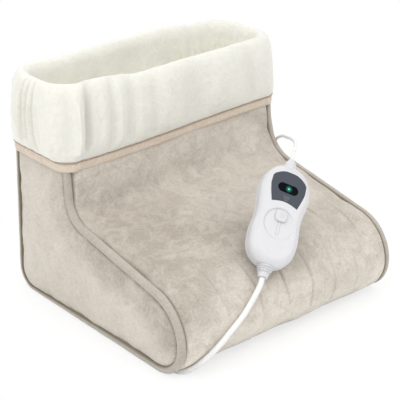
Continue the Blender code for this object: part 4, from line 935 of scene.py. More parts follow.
def tail_points(start):
    """From the coil's upper end, over its outer turn, down to the plug."""
    level = PLUG_AXIS_HEIGHT - start.z
    shares = ((0, 0), (0.12, 0), (0.4, 0), (0.65, 0.5), (0.88, 1), (1, 1))
    places = [start + Vector((TAIL_LENGTH * along, 0, level * drop)) for along, drop in shares]
    return smooth_points(places, CORD_DIAMETER)


def cord_points():
    low = -BODY_LENGTH / 2 - LOW_RELIEF_LENGTH - SEAM_GAP
    start = (on_controller(0, low, 0), on_controller(0, low - 1.2 * CORD_DIAMETER, 0))
    coil = coil_points()
    run = Vector((CORD_DIAMETER, 0, 0))
    free = smooth_points((*start, *CORD_ROUTE, coil[0] - run, coil[0]), CORD_DIAMETER)
    return free + coil[1:] + tail_points(coil[-1])[1:]


def line_length(points):
    return sum((b - a).length for a, b in zip(points, points[1:]))


def add_tube(name, points, diameter, material, nodes):
    curve = bpy.data.curves.new(name, "CURVE")
    curve.dimensions = "3D"
    curve.bevel_depth = diameter / 2
    curve.bevel_resolution = 5
    curve.use_fill_caps = True
    spline = curve.splines.new("POLY")
    spline.points.add(len(points) - 1)
    for place, point in zip(spline.points, points):
        place.co = (*point, 1.0)
    spline.use_smooth = True
    curve.materials.append(material)
    piece = new_object(name, curve)
    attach(piece, "boot")
    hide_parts(*nodes)
    return piece


class AddStage(bpy.types.Operator):
    """Floor, world, lamps and the photograph's camera"""

    bl_idname = "foot_warmer.add_stage"
    bl_label = "Add Stage"

    def execute(self, context):
        scene = context.scene
        scene.view_settings.view_transform = "Standard"
        self.add_camera(scene)
        self.add_world(scene)
        self.add_floor()
        self.add_lamps(scene)
        return {"FINISHED"}

    def stand(self, name, data, place):
        """A camera or lamp at a place, turned to the middle of the picture."""
        item = new_object(name, data)
        item.location = place
        look = Vector(CAMERA_AIM) - Vector(place)
        item.rotation_euler = look.to_track_quat("-Z", "Y").to_euler()
        return item

    def add_camera(self, scene):
        data = bpy.data.cameras.new("photo_camera")
        data.lens = LENS_MM
        data.sensor_width = SENSOR_MM
        scene.camera = self.stand("photo_camera", data, CAMERA_AT)

    def add_world(self, scene):
        """A soft sky that is brighter overhead, and plain white where it is seen."""
        world = bpy.data.worlds.new("studio")
        world.use_nodes = True
        tree = world.node_tree
        tree.nodes.clear()
        soft = tree.nodes.new("ShaderNodeBackground")
        plain = tree.nodes.new("ShaderNodeBackground")
        for sky in (soft, plain):
            sky.inputs["Color"].default_value = (1, 1, 1, 1)
        height = height_of(tree, tree.nodes.new("ShaderNodeTexCoord").outputs["Generated"])
        tree.links.new(map_range(tree, height, 0.0, 1.0, 0.4, 1.34), soft.inputs["Strength"])
        rays = tree.nodes.new("ShaderNodeLightPath").outputs
        seen = math_node(tree, "MAXIMUM", rays["Is Camera Ray"], rays["Is Glossy Ray"])
        seen = math_node(tree, "MAXIMUM", seen, rays["Is Transmission Ray"])
        out = tree.nodes.new("ShaderNodeOutputWorld")
        mix_shaders(tree, seen, soft.outputs[0], plain.outputs[0], out)
        scene.world = world

    def add_floor(self):
        bm = bmesh.new()
        bmesh.ops.create_circle(bm, cap_ends=True, segments=64, radius=3.0)
        mesh = bpy.data.meshes.new("studio_floor")
        bm.to_mesh(mesh)
        bm.free()
        mesh.materials.append(self.floor_material())
        floor = new_object("studio_floor", mesh)

    def floor_material(self):
        """Pale near the object, and plain white where the camera sees it further out."""
        material, tree, shader = new_tree("pale_floor")
        pale = {"Base Color": (0.93, 0.93, 0.93, 1), "Roughness": 0.9, "Specular IOR Level": 0.0}
        feed(tree, shader, pale)
        white = tree.nodes.new("ShaderNodeEmission")
        away = tree.nodes.new("ShaderNodeVectorMath")
        away.operation = "LENGTH"
        tree.links.new(object_place(tree), away.inputs[0])
        far = map_range(tree, away.outputs["Value"], 0.14, 0.32, 0.7, 1.0)
        rays = tree.nodes.new("ShaderNodeLightPath").outputs
        seen = times(tree, rays["Is Camera Ray"], far)
        mix_shaders(tree, seen, shader.outputs[0], white.outputs[0], tree.nodes["Material Output"])
        return material

    def add_lamps(self, scene):
        power = scene.foot_warmer.lamp_power
        lamps = (
            ("key_lamp", (-1.5, -0.35, 1.35), 1.2, power),
            ("fill_lamp", (0.4, -1.4, 1.75), 1.4, 0.95 * power),
        )
        for name, place, size, watts in lamps:
            data = bpy.data.lights.new(name, "AREA")
            data.size = size
            data.energy = watts
            self.stand(name, data, place)


class AddCords(bpy.types.Operator):
    """Heating lead, and mains cord with its put-away coil and plug"""

    bl_idname = "foot_warmer.add_cords"
    bl_label = "Add Cords"

    def execute(self, context):
        finish = palette()
        for node in ("lead_gland", "plug_relief", "plug_body"):
            dress(node, finish.cord)
        for node in ("plug_pin_1", "plug_pin_2"):
            dress(node, finish.nickel)
        points = lead_points()
        lead = add_tube("lead", points, LEAD_DIAMETER, finish.cord, ["heating_lead"])
        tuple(points[0])
        line_length(points)
        points = cord_points()
        nodes = ["mains_cord", "mains_cord_coil", "mains_cord_tail"]
        cord = add_tube("mains_lead", points, CORD_DIAMETER, finish.cord, nodes)
        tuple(points[0])
        line_length(points)
        return {"FINISHED"}


# Padded panels


def front_swell(x, share):
    """How far the front panel stands out, across the boot and along its profile."""
    across = 1 - abs(x / HALF_WIDTH) ** 3
    rise = smoothstep(share, 0.22, 0.52)
    fall = 1 - 0.75 * smoothstep(share, 0.86, 1.0)
    return across * FRONT_CROWN * rise * fall - CREASE_DEPTH * crease_at(x, share)


def heel_swell(x, share):
    across = 1 - abs(x / HALF_WIDTH) ** 3
    return HEEL_CROWN * across * smoothstep(share, 0.0, 0.25) * (1 - smoothstep(share, 0.45, 0.66))


def flat_sole(x, share):
    return 0.0


def seam_dip(away):
    """How far padding dips below its level, at a distance from its seam."""
    short = max(1 - away / SEAM_DIP_REACH, 0.0)
    return SEAM_DIP * (1 - sqrt(1 - short**2))


def seam_steps(length, step=4 * MM):
    """Distances along a padded strip, close together beside its two seams."""
    near = [0.0, 1.1 * MM, 2.4 * MM, 4.2 * MM, 7 * MM]
    scale = min(1.0, length / (4 * near[-1]))
    near = [place * scale for place in near]
    inner = length - 2 * near[-1]
    count = max(2, round(inner / step))
    middle = [near[-1] + inner * index / count for index in range(1, count)]
    return near + middle + [length - place for place in reversed(near)]


def front_columns(half):
    """Steps across the front panel, with close columns at each crease."""
    steps = []
    for step in seam_steps(2 * half):
        if all(abs(step - half - crease[0]) > 2.6 * CREASE_WIDTH for crease in CREASES):
            steps.append(step)
    for crease in CREASES:
        reaches = (-1.9, -1.1, -0.5, 0, 0.5, 1.1, 1.9)
        steps += [half + crease[0] + reach * CREASE_WIDTH for reach in reaches]
    return sorted(steps)


def panel_rings(line, normals, half, swell, lump, seed, steps=None, wander=None):
    """Upright lines of a panel that runs across the boot, from left to right."""
    shares = length_shares(line)
    rings = []
    for along in steps or seam_steps(2 * half):
        x = along - half
        away = min(along, 2 * half - along)
        calm = smoothstep(away, 0.0, 20 * MM)
        ring = []
        for point, normal, share in zip(line, normals, shares):
            aside = calm * wander(x, share) if wander else 0.0
            place = Vector((x + aside, point.x, point.y))
            out = Vector((0, normal.x, normal.y))
            uneven = calm * lump * lumps(place, LUMP_SIZE, seed)
            ring.append(place + out * (calm * swell(x, share) + uneven - seam_dip(away)))
        rings.append(ring)
    return rings


def border_of(mesh):
    """Vertices on the open edges of a sheet."""
    uses = {}
    for polygon in mesh.polygons:
        for key in polygon.edge_keys:
            uses[key] = uses.get(key, 0) + 1
    return sorted({index for key, count in uses.items() if count == 1 for index in key})


class AddPanels(bpy.types.Operator):
    """Padded front, heel, side and sole panels"""

    bl_idname = "foot_warmer.add_panels"
    bl_label = "Add Padded Panels"

    def execute(self, context):
        line = boot_line()
        normals = outward(line)
        toe, heel = split_profile(line, normals)
        self.limit = context.scene.foot_warmer.swell_limit
        self.add_front(line[: toe + 1], normals[: toe + 1])
        self.add_heel(line[heel:], normals[heel:])
        self.add_sole(line[toe : heel + 1], normals[toe : heel + 1])
        self.add_side("left_side_panel_soft", -1, "left_side_panel", line, normals)
        self.add_side("right_side_panel_soft", 1, "right_side_panel", line, normals)
        return {"FINISHED"}

    def finish_panel(self, piece, pressure, slack):
        border = border_of(piece.data)
        mark_seams(piece, border)
        settle_cloth(piece, border, pressure, slack, self.limit)
        wall_in(piece, PANEL_THICK)
        refine(piece)

    def add_front(self, line, normals):
        half = HALF_WIDTH - ROLL_SEAM_SHARE * ROLL_RADIUS
        steps = front_columns(half)
        rings = panel_rings(line, normals, half, front_swell, LUMP_HEIGHT, 3.1, steps, crease_wander)
        bm = skin(rings, looped=False)
        ahead = Vector((0, -1, 0.6))
        piece = add_soft_piece("front_panel_soft", bm, ahead, palette().velour, ["front_panel"])
        shares = length_shares(line)
        marks = []
        for index, row in enumerate(piece.data.attributes["place"].data):
            across = steps[index // len(line)] - half
            marks.append(CREASE_SHADE * crease_at(across, shares[row.value]))
        # Painted shade beside the seams and in broad areas of the front
        mark(piece, "painted_shade", lambda vert: front_painted_shade(vert.co))
        self.finish_panel(piece, 1.2, 0.012)
        # The creases' painted shade joins the seams' painted shade
        for crease, seam in zip(marks, piece.data.attributes["seam"].data):
            seam.value = max(crease, seam.value)

    def add_heel(self, line, normals):
        half = HALF_WIDTH - ROLL_SEAM_SHARE * ROLL_HEEL_RADIUS
        bm = skin(panel_rings(line, normals, half, heel_swell, LUMP_HEIGHT, 7.7), looped=False)
        behind = Vector((0, 1, 0))
        piece = add_soft_piece("heel_panel_soft", bm, behind, palette().velour, ["heel_panel"])
        self.finish_panel(piece, 0.8, 0.008)

    def add_sole(self, line, normals):
        """The sole lies flat, and the cord presses a groove into it."""
        low = [point for point in cord_points() if point.z < 2 * CORD_DIAMETER]
        tree = search_tree([(point.x, point.y, 0) for point in low if point.y < HALF_WIDTH])
        half = HALF_WIDTH - ROLL_SEAM_SHARE * ROLL_RADIUS
        bm = skin(panel_rings(line, normals, half, flat_sole, 0.0, 1.3), looped=False)
        left = [edge for edge in bm.edges if all(vert.co.x < 6 * PANEL_STEP - half for vert in edge.verts)]
        bmesh.ops.subdivide_edges(bm, edges=left, cuts=3, use_grid_fill=True)
        face_outwards(bm, Vector((0, 0, -1)))
        for vert in bm.verts:
            away = tree.find((vert.co.x, vert.co.y, 0))[2]
            groove = 1 - smoothstep(away, 0.55 * CORD_DIAMETER, 1.1 * CORD_DIAMETER)
            vert.co.z += (CORD_DIAMETER + CORD_ROOM) * groove
        piece = add_piece("sole_panel_soft", bm, palette().sole, ["sole_panel"])
        wall_in(piece, PANEL_THICK)

    def add_side(self, name, side, node, line, normals):
        """A side wall, ruled from the front edge of the boot to its rear and sole."""
        shares = length_shares(line)
        edge = []
        for point, normal, share in zip(line, normals, shares):
            edge.append(point - normal * ROLL_SEAM_SHARE * roll_radius(share))
        nose = min(range(len(edge)), key=lambda index: edge[index].x)
        front = even_points(edge[: nose + 1], 4.4 * MM)
        count = len(front) - 1
        rear_run = edge[nose:][::-1]
        rear = even_points(rear_run, line_length(rear_run) / count)
        tree = search_tree([(0, *point) for point in even_points(edge, MM)])
        steps = len(seam_steps(220 * MM, 5 * MM))
        columns = []
        for near, far in zip(front, rear):
            length = (far - near).length
            places = seam_steps(length, (length - 14 * MM) / (steps - 9)) if length > 28 * MM else None
            column = []
            for index in range(steps):
                share = places[index] / length if places else index / (steps - 1)
                point = near.lerp(far, share)
                away = tree.find((0, point.x, point.y))[2]
                rise = 1 - (1 - min(away / SIDE_CROWN_REACH, 1)) ** 2
                crown = SIDE_CROWN * rise * (1 - smoothstep(point.y, 140 * MM, 175 * MM))
                wave = LUMP_HEIGHT * rise * lumps((side, point.x, point.y), LUMP_SIZE, 5.3)
                out = HALF_WIDTH - SIDE_INSET + crown + wave - seam_dip(away)
                column.append(Vector((side * out, point.x, point.y)))
            columns.append(column)
        bm = skin(columns, looped=False)
        bmesh.ops.remove_doubles(bm, verts=bm.verts[:], dist=0.2 * MM)
        out = Vector((side, 0, 0))
        piece = add_soft_piece(name, bm, out, palette().side, [node])
        ahead = search_tree([(0, *point) for point in front])
        # Painted shade beside the front seam
        mark(piece, "painted_shade", lambda vert: self.side_painted_shade(vert.co, ahead))
        self.finish_panel(piece, 0.8, 0.006)

    def side_painted_shade(self, place, ahead):
        """Painted shade beside the front seam, where the padding falls away, more of it towards the toe."""
        away = ahead.find((0, place.y, place.z))[2]
        low = 1 - smoothstep(place.z, 70 * MM, 150 * MM)
        near = 1 - smoothstep(away, 8 * MM, (30 + 12 * low) * MM)
        return near * (0.24 + 0.54 * low) * smoothstep(place.z, 20 * MM, 48 * MM)


def roll_radius(share):
    """The binding's roll is slimmer along the sole and thin at the heel."""
    return ROLL_RADIUS + (ROLL_HEEL_RADIUS - ROLL_RADIUS) * smoothstep(share, 0.47, 0.76)


class AddBindings(bpy.types.Operator):
    """Padded rolls that bind the seams all round both side panels"""

    bl_idname = "foot_warmer.add_bindings"
    bl_label = "Add Bindings"

    def execute(self, context):
        self.add_binding("left_binding_soft", -1, "left_binding")
        self.add_binding("right_binding_soft", 1, "right_binding")
        return {"FINISHED"}

    def add_binding(self, name, side, node, around=24):
        line = boot_line(2.5 * MM)
        rings = []
        for point, normal, share in zip(line, outward(line), length_shares(line)):
            radius = roll_radius(share)
            wave = 1 + 0.07 * lumps((side, point.x, point.y), 13 * MM, 2.2)
            ring = []
            for step in range(around):
                angle = 2 * pi * step / around
                depth = radius * (0.96 + wave * cos(angle))
                place = point + normal * radius * (wave * sin(angle) - 0.94)
                ring.append(Vector((side * (HALF_WIDTH - depth), place.x, max(place.y, 0.1 * MM))))
            rings.append(ring)
        bm = skin(rings, capped=True)
        piece = add_soft_piece(name, bm, None, palette().binding, [node])
        # Painted shade along both edges of the roll, where it meets the panels
        turns = [(row.value / around + 0.125) % 1.0 for row in piece.data.attributes["place"].data]
        mark(piece, "seam", lambda vert: smoothstep(abs(turns[vert.index] - 0.5), 0.17, 0.25))


def neck_depth(height):
    """The neck's front and rear, as y, at a height."""
    front_top, ankle, rear_low, rear_top = (Vector(PROFILE[i]) for i in (0, 1, 4, 5))
    front = front_top.lerp(ankle, (front_top.y - height) / (front_top.y - ankle.y))
    rear = rear_top.lerp(rear_low, (rear_top.y - height) / (rear_top.y - rear_low.y))
    return front.x, rear.x


def neck_ring(outset, height, corner, arc=13, side_run=34, long_run=128):
    """Points, outward directions and round shares of a rounded rectangle on the neck."""
    front, rear = neck_depth(height)
    middle, depth = (front + rear) / 2, (rear - front) / 2 + outset
    half = HALF_WIDTH + outset
    straight = Vector((half - corner, depth - corner))
    sides = ((1, -1, side_run), (1, 1, long_run), (-1, 1, side_run), (-1, -1, long_run))
    ring = []
    for index, (sign_x, sign_y, count) in enumerate(sides):
        hub = Vector((sign_x * straight.x, middle + sign_y * straight.y, height))
        for step in range(arc):
            angle = pi / 2 * (index - 1 + step / (arc - 1))
            out = Vector((cos(angle), sin(angle), 0))
            ring.append((hub + out * corner, out))
        start, out = ring[-1]
        along = Vector((-out.y, out.x, 0))
        reach = 2 * (straight.y if index % 2 == 0 else straight.x)
        for step in range(count):
            ring.append((start + along * (reach * (step + 1) / (count + 1)), out))
    total = len(ring)
    return [(point, out, number / total) for number, (point, out) in enumerate(ring)]


# Upright folds of the cuff: place as a share of the way round, width, strength.
# The way round starts at the front's right end and runs by the right end first.
OUTER_FOLDS = (
    (0.07, 0.008, 0.5), (0.1, 0.006, -0.5), (0.28, 0.02, 0.5), (0.42, 0.02, -0.5), (0.49, 0.008, 0.6),
    (0.548, 0.0045, 0.9), (0.557, 0.004, -0.7), (0.566, 0.0045, 0.9), (0.577, 0.004, -0.8),
    (0.587, 0.005, 0.9), (0.599, 0.004, -0.8), (0.609, 0.005, 0.7), (0.632, 0.008, 0.5),
    (0.644, 0.004, -0.4), (0.652, 0.0035, 2.0), (0.662, 0.005, -1.8), (0.688, 0.007, 0.6),
    (0.703, 0.005, -0.7), (0.717, 0.007, 0.9), (0.736, 0.007, -0.7), (0.755, 0.009, 0.6),
    (0.779, 0.009, -0.5), (0.8, 0.02, 0.5), (0.85, 0.02, -0.4), (0.91, 0.02, 0.4), (0.97, 0.01, -0.4),
)
INNER_FOLDS = (
    (0.03, 0.01, -0.6), (0.09, 0.006, 0.5), (0.12, 0.006, -0.4), (0.172, 0.007, 0.7), (0.187, 0.007, -0.4),
    (0.202, 0.008, 0.6), (0.222, 0.008, -0.4), (0.25, 0.012, 0.5), (0.33, 0.02, -0.5), (0.4, 0.012, 0.5),
    (0.47, 0.012, -0.6), (0.52, 0.008, 0.7), (0.57, 0.01, -0.6), (0.62, 0.008, 0.6), (0.75, 0.02, 0.6),
)


def fold_at(folds, round_share):
    total = 0.0
    for place, width, strength in folds:
        away = abs(round_share - place)
        total += strength * bell(min(away, 1 - away), 0, width)
    return total


class AddCuff(bpy.types.Operator):
    """Turned-down fleece cuff with the tape and piping along its lower edge"""

    bl_idname = "foot_warmer.add_cuff"
    bl_label = "Add Cuff"

    # Outset, height and corner radius as a share, from inside over the crest
    # and down to the trim, then back up behind the outer layer
    OUTER_FROM = 6
    BACK_FROM = 16
    SECTION = (
        (-9.8 * MM, CUFF_SEAM, 0.8), (-10.4 * MM, 226 * MM, 0.9), (-9.6 * MM, 243 * MM, 1.0),
        (-7.4 * MM, 254 * MM, 1.15), (-3.2 * MM, 260.2 * MM, 1.35), (1.2 * MM, CUFF_CREST, 1.5),
        (5.8 * MM, 259 * MM, 1.6), (9.2 * MM, 251.5 * MM, 1.7), (11.0 * MM, 240 * MM, 1.75),
        (12.0 * MM, 226 * MM, 1.75), (12.0 * MM, 211 * MM, 1.7), (11.0 * MM, 199 * MM, 1.55),
        (9.0 * MM, 190.5 * MM, 1.3), (7.0 * MM, 186.4 * MM, 1.1), (5.2 * MM, CUFF_FOOT, 1.0),
        (3.2 * MM, 185.4 * MM, 0.6), (2.2 * MM, 190 * MM, 0.5), (2.2 * MM, 218 * MM, 0.5),
        (1.6 * MM, 246 * MM, 0.5), (0.2 * MM, 249 * MM, 0.5), (-3.5 * MM, 249 * MM, 0.45),
        (-5.5 * MM, 246 * MM, 0.4), (-5.6 * MM, 224 * MM, 0.4), (-5.8 * MM, CUFF_SEAM, 0.4),
    )

    def execute(self, context):
        self.add_cuff()
        self.add_trim()
        return {"FINISHED"}

    def dense_section(self):
        """The section evenly stepped, with shares of the inner and outer folds."""
        knots = [Vector(point[:2]) for point in self.SECTION]
        lengths = length_shares(knots)
        smooth = smooth_points([2 * knots[0] - knots[1], *knots, 2 * knots[-1] - knots[-2]], 2.4 * MM)
        places = smooth[1:-1]
        outer = (lengths[self.OUTER_FROM], lengths[self.BACK_FROM])
        dense = []
        for place, share in zip(places, length_shares(places)):
            index = max(i for i, length in enumerate(lengths[:-1]) if length <= share + 1e-9)
            part = (share - lengths[index]) / (lengths[index + 1] - lengths[index])
            near, far = self.SECTION[index : index + 2]
            corner = near[2] + (far[2] - near[2]) * part
            out = smoothstep(share, outer[0] - 0.08, outer[0] + 0.12)
            out *= 1 - smoothstep(share, outer[1] - 0.06, outer[1])
            out *= 0.2 + 0.8 * smoothstep(place.y, 186 * MM, 202 * MM)
            inside = 1 - smoothstep(share, 0.05, outer[0])
            dense.append((place.x, place.y, corner, inside, out))
        return dense

    def add_cuff(self):
        rings = []
        section = self.dense_section()
        for outset, height, corner, inside, outside in section:
            loose = max(inside, outside)
            ring = []
            for point, out, share in neck_ring(outset, height, corner * CUFF_CORNER):
                push = outside * fold_at(OUTER_FOLDS, share) - 0.8 * inside * fold_at(INNER_FOLDS, share)
                drape = lumps((point.x, point.y, 0.22 * point.z), 16 * MM, 1.7)
                broad = lumps(point, 45 * MM, 6.1)
                tuft = lumps(point, 7 * MM, 4.1)
                uneven = 1.3 * drape + 1.5 * broad + 0.45 * tuft
                push = FOLD_HEIGHT * push + (0.25 + 0.75 * loose) * MM * uneven
                crest = smoothstep(height, 244 * MM, CUFF_CREST)
                rise = crest * MM * (1.4 * lumps((8 * share, outset, 0), 1.0, 9.0) + 0.6 * tuft)
                ring.append(point + out * push + Vector((0, 0, rise)))
            rings.append(ring)
        bm = skin(rings, joined=True)
        cuff = add_soft_piece("cuff_fleece", bm, None, palette().fleece, ["cuff"])
        shares = [share for point, out, share in neck_ring(0, CUFF_CREST, CUFF_CORNER)]
        around = [shares[row.value] for row in cuff.data.attributes["place"].data]

        # Painted shade: darker from the inner face up over the crest and down the outer layer, so the inside
        # reads lighter, and darker still in the folds' valleys
        def painted_cuff_shade(vert):
            inside, outside = section[vert.index // len(ring)][3:]
            valley = outside * max(0.0, -fold_at(OUTER_FOLDS, around[vert.index]))
            valley += inside * max(0.0, fold_at(INNER_FOLDS, around[vert.index]))
            return 1 - inside + 0.9 * valley

        mark(cuff, "outside", painted_cuff_shade)

    def add_band(self, name, section, material):
        """A closed band round the neck, which follows the cuff's folds where it is free."""
        rings = []
        for outset, height, free in section:
            ring = []
            for point, out, share in neck_ring(outset, height, CUFF_CORNER * (0.3 + 0.7 * free)):
                wave = 0.4 * MM * lumps(point, 20 * MM, 6.2)
                wave += 0.12 * FOLD_HEIGHT * fold_at(OUTER_FOLDS, share)
                ring.append(point + out * free * wave)
            rings.append(ring)
        add_soft_piece(name, skin(rings, joined=True), None, material, ["cuff_trim"])

    def add_trim(self):
        low, high, out_to = TRIM_LOW, TRIM_HIGH, TRIM_OUT
        section = (
            (1.4 * MM, low + 0.6 * MM), (0.6 * out_to, low + 0.1 * MM), (0.88 * out_to, low),
            (out_to, low + 0.8 * MM), (1.04 * out_to, low + 3 * MM), (1.04 * out_to, low + 6 * MM),
            (out_to, high - 1.4 * MM), (0.9 * out_to, high), (0.5 * out_to, high + 0.3 * MM),
            (1.4 * MM, high),
        )
        tape = [(outset, height, min(1, outset / out_to)) for outset, height in section]
        self.add_band("cuff_trim_band", tape, palette().trim)
        piping = []
        for step in range(10):
            angle = 2 * pi * step / 10
            outset = out_to + PIPING_RADIUS * cos(angle)
            piping.append((outset, high + 0.4 * MM + PIPING_RADIUS * sin(angle), 1))
        self.add_band("cuff_trim_piping", piping, palette().piping)


class AddLining(bpy.types.Operator):
    """Fleece foot bag, and the heating insert under it"""

    bl_idname = "foot_warmer.add_lining"
    bl_label = "Add Lining"

    def execute(self, context):
        finish = palette()
        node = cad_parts["inner_lining"]
        bm = bmesh.new()
        bm.from_mesh(node.data)
        bmesh.ops.remove_doubles(bm, verts=bm.verts[:], dist=0.05 * MM)
        bmesh.ops.recalc_face_normals(bm, faces=bm.faces[:])
        slouch(bm)
        piece = add_piece("lining_fleece", bm, finish.fleece, ["inner_lining"])
        remesh = piece.modifiers.new("even", "REMESH")
        remesh.mode = "VOXEL"
        remesh.voxel_size = 5 * MM
        depsgraph = context.evaluated_depsgraph_get()
        even = bpy.data.meshes.new_from_object(piece.evaluated_get(depsgraph), depsgraph=depsgraph)
        piece.modifiers.clear()
        piece.data = even
        bm = bmesh.new()
        bm.from_mesh(even)
        axes = {"use_axis_x": True, "use_axis_y": True, "use_axis_z": True}
        for _ in range(3):
            bmesh.ops.smooth_vert(bm, verts=bm.verts[:], factor=0.5, **axes)
        bm.normal_update()
        for vert in bm.verts:
            vert.co += vert.normal * (0.9 * MM * lumps(vert.co, 26 * MM, 2.9) - 0.4 * MM)
        bm.to_mesh(even)
        bm.free()
        even.shade_smooth()
        dress("heating_pad", finish.felt)
        dress("heating_wire", finish.wire)
        dress("thermal_fuse", finish.steel)
        return {"FINISHED"}


# Controller


def curve_outline(points, corners):
    """Points of the smooth closed outline through knots, sharp at the named corners."""
    curve = bpy.data.curves.new("outline", "CURVE")
    curve.dimensions = "2D"
    curve.fill_mode = "NONE"
    curve.resolution_u = 12
    spline = curve.splines.new("BEZIER")
    spline.use_cyclic_u = True
    spline.bezier_points.add(len(points) - 1)
    for index, (knot, (x, y)) in enumerate(zip(spline.bezier_points, points)):
        knot.co = (x, y, 0.0)
        kind = "VECTOR" if index in corners else "AUTO"
        knot.handle_left_type = kind
        knot.handle_right_type = kind
    guide = new_object("outline", curve)
    depsgraph = bpy.context.evaluated_depsgraph_get()
    mesh = bpy.data.meshes.new_from_object(guide.evaluated_get(depsgraph), depsgraph=depsgraph)
    outline = [Vector((vert.co.x, vert.co.y)) for vert in mesh.vertices]
    bpy.data.objects.remove(guide)
    bpy.data.curves.remove(curve)
    bpy.data.meshes.remove(mesh)
    return outline


def mirrored_outline(top, right, low, corners=()):
    """A smooth outline through its two ends, its right side's knots and their mirror."""
    left = [(-x, y) for x, y in reversed(right)]
    return curve_outline([(0.0, top), *right, (0.0, low), *left], corners)


def body_outline():
    half = BODY_LENGTH / 2
    top, waist, low = BODY_WIDTH_TOP / 2, BODY_WIDTH_WAIST / 2, BODY_WIDTH_LOW / 2
    right = [
        (0.38 * top, 0.975 * half), (0.80 * top, 0.80 * half), (top, 0.50 * half),
        (0.5 * (waist + top), 0.22 * half), (waist, -0.04 * half), (low, -0.48 * half),
        (0.84 * low, -0.80 * half), (0.45 * low, -0.965 * half),
    ]
    return mirrored_outline(half, right, -half)


def fascia_outline():
    half, foot = FASCIA_WIDTH / 2, FASCIA_LOW_WIDTH / 2
    rise = FASCIA_TOP - FASCIA_LOW
    right = [
        (0.5 * half, FASCIA_TOP - 0.04 * rise), (0.88 * half, FASCIA_TOP - 0.2 * rise),
        (half, FASCIA_TOP - 0.42 * rise), (0.95 * half, FASCIA_TOP - 0.62 * rise),
        (foot, FASCIA_LOW), (0.5 * foot, FASCIA_LOW + 0.06 * rise),
    ]
    return mirrored_outline(FASCIA_TOP, right, FASCIA_LOW + 0.085 * rise, corners=(5, 9))


def stadium_outline(length, height, centre_y, steps=16):
    radius = height / 2
    reach = length / 2 - radius
    outline = []
    for sign, start in ((1, -pi / 2), (-1, pi / 2)):
        for step in range(steps + 1):
            angle = start + pi * step / steps
            outline.append(Vector((sign * reach + radius * cos(angle), centre_y + radius * sin(angle))))
    return outline


def outline_normals(outline):
    normals = []
    for index in range(len(outline)):
        along = outline[(index + 1) % len(outline)] - outline[index - 1]
        normals.append(Vector((along.y, -along.x)).normalized())
    centre = sum(outline, Vector((0, 0))) / len(outline)
    if sum((p - centre).dot(n) for p, n in zip(outline, normals)) < 0:
        normals = [-n for n in normals]
    return normals


def level(outline, height):
    return [Vector((point.x, point.y, height)) for point in outline]


def edge_rise(away, radius):
    """Height lost by a rounded edge at a distance in from the outline."""
    short = max(radius - away, 0.0)
    return radius - sqrt(max(radius**2 - short**2, 0.0))


def dish_dip(x, y):
    """The round thumb recess that the slider runs in."""
    away = sqrt(x**2 + (y - DISH_Y) ** 2)
    return DISH_DEPTH * (1 - smoothstep(away, DISH_RADIUS - 1.6 * MM, DISH_RADIUS + 0.4 * MM))


def domed_rings(outline, centre, steps, height_at):
    """Rings of an outline drawn in to its centre, at heights given by a function."""
    normals = outline_normals(outline)
    rings = []
    for step in range(steps + 1):
        share = 1 - (step / (steps + 0.35)) ** 1.1
        ring = []
        for point, normal in zip(outline, normals):
            place = centre + (point - centre) * share
            away = (1 - share) * (point - centre).dot(normal)
            ring.append(Vector((place.x, place.y, height_at(place, away))))
        rings.append(ring)
    return rings


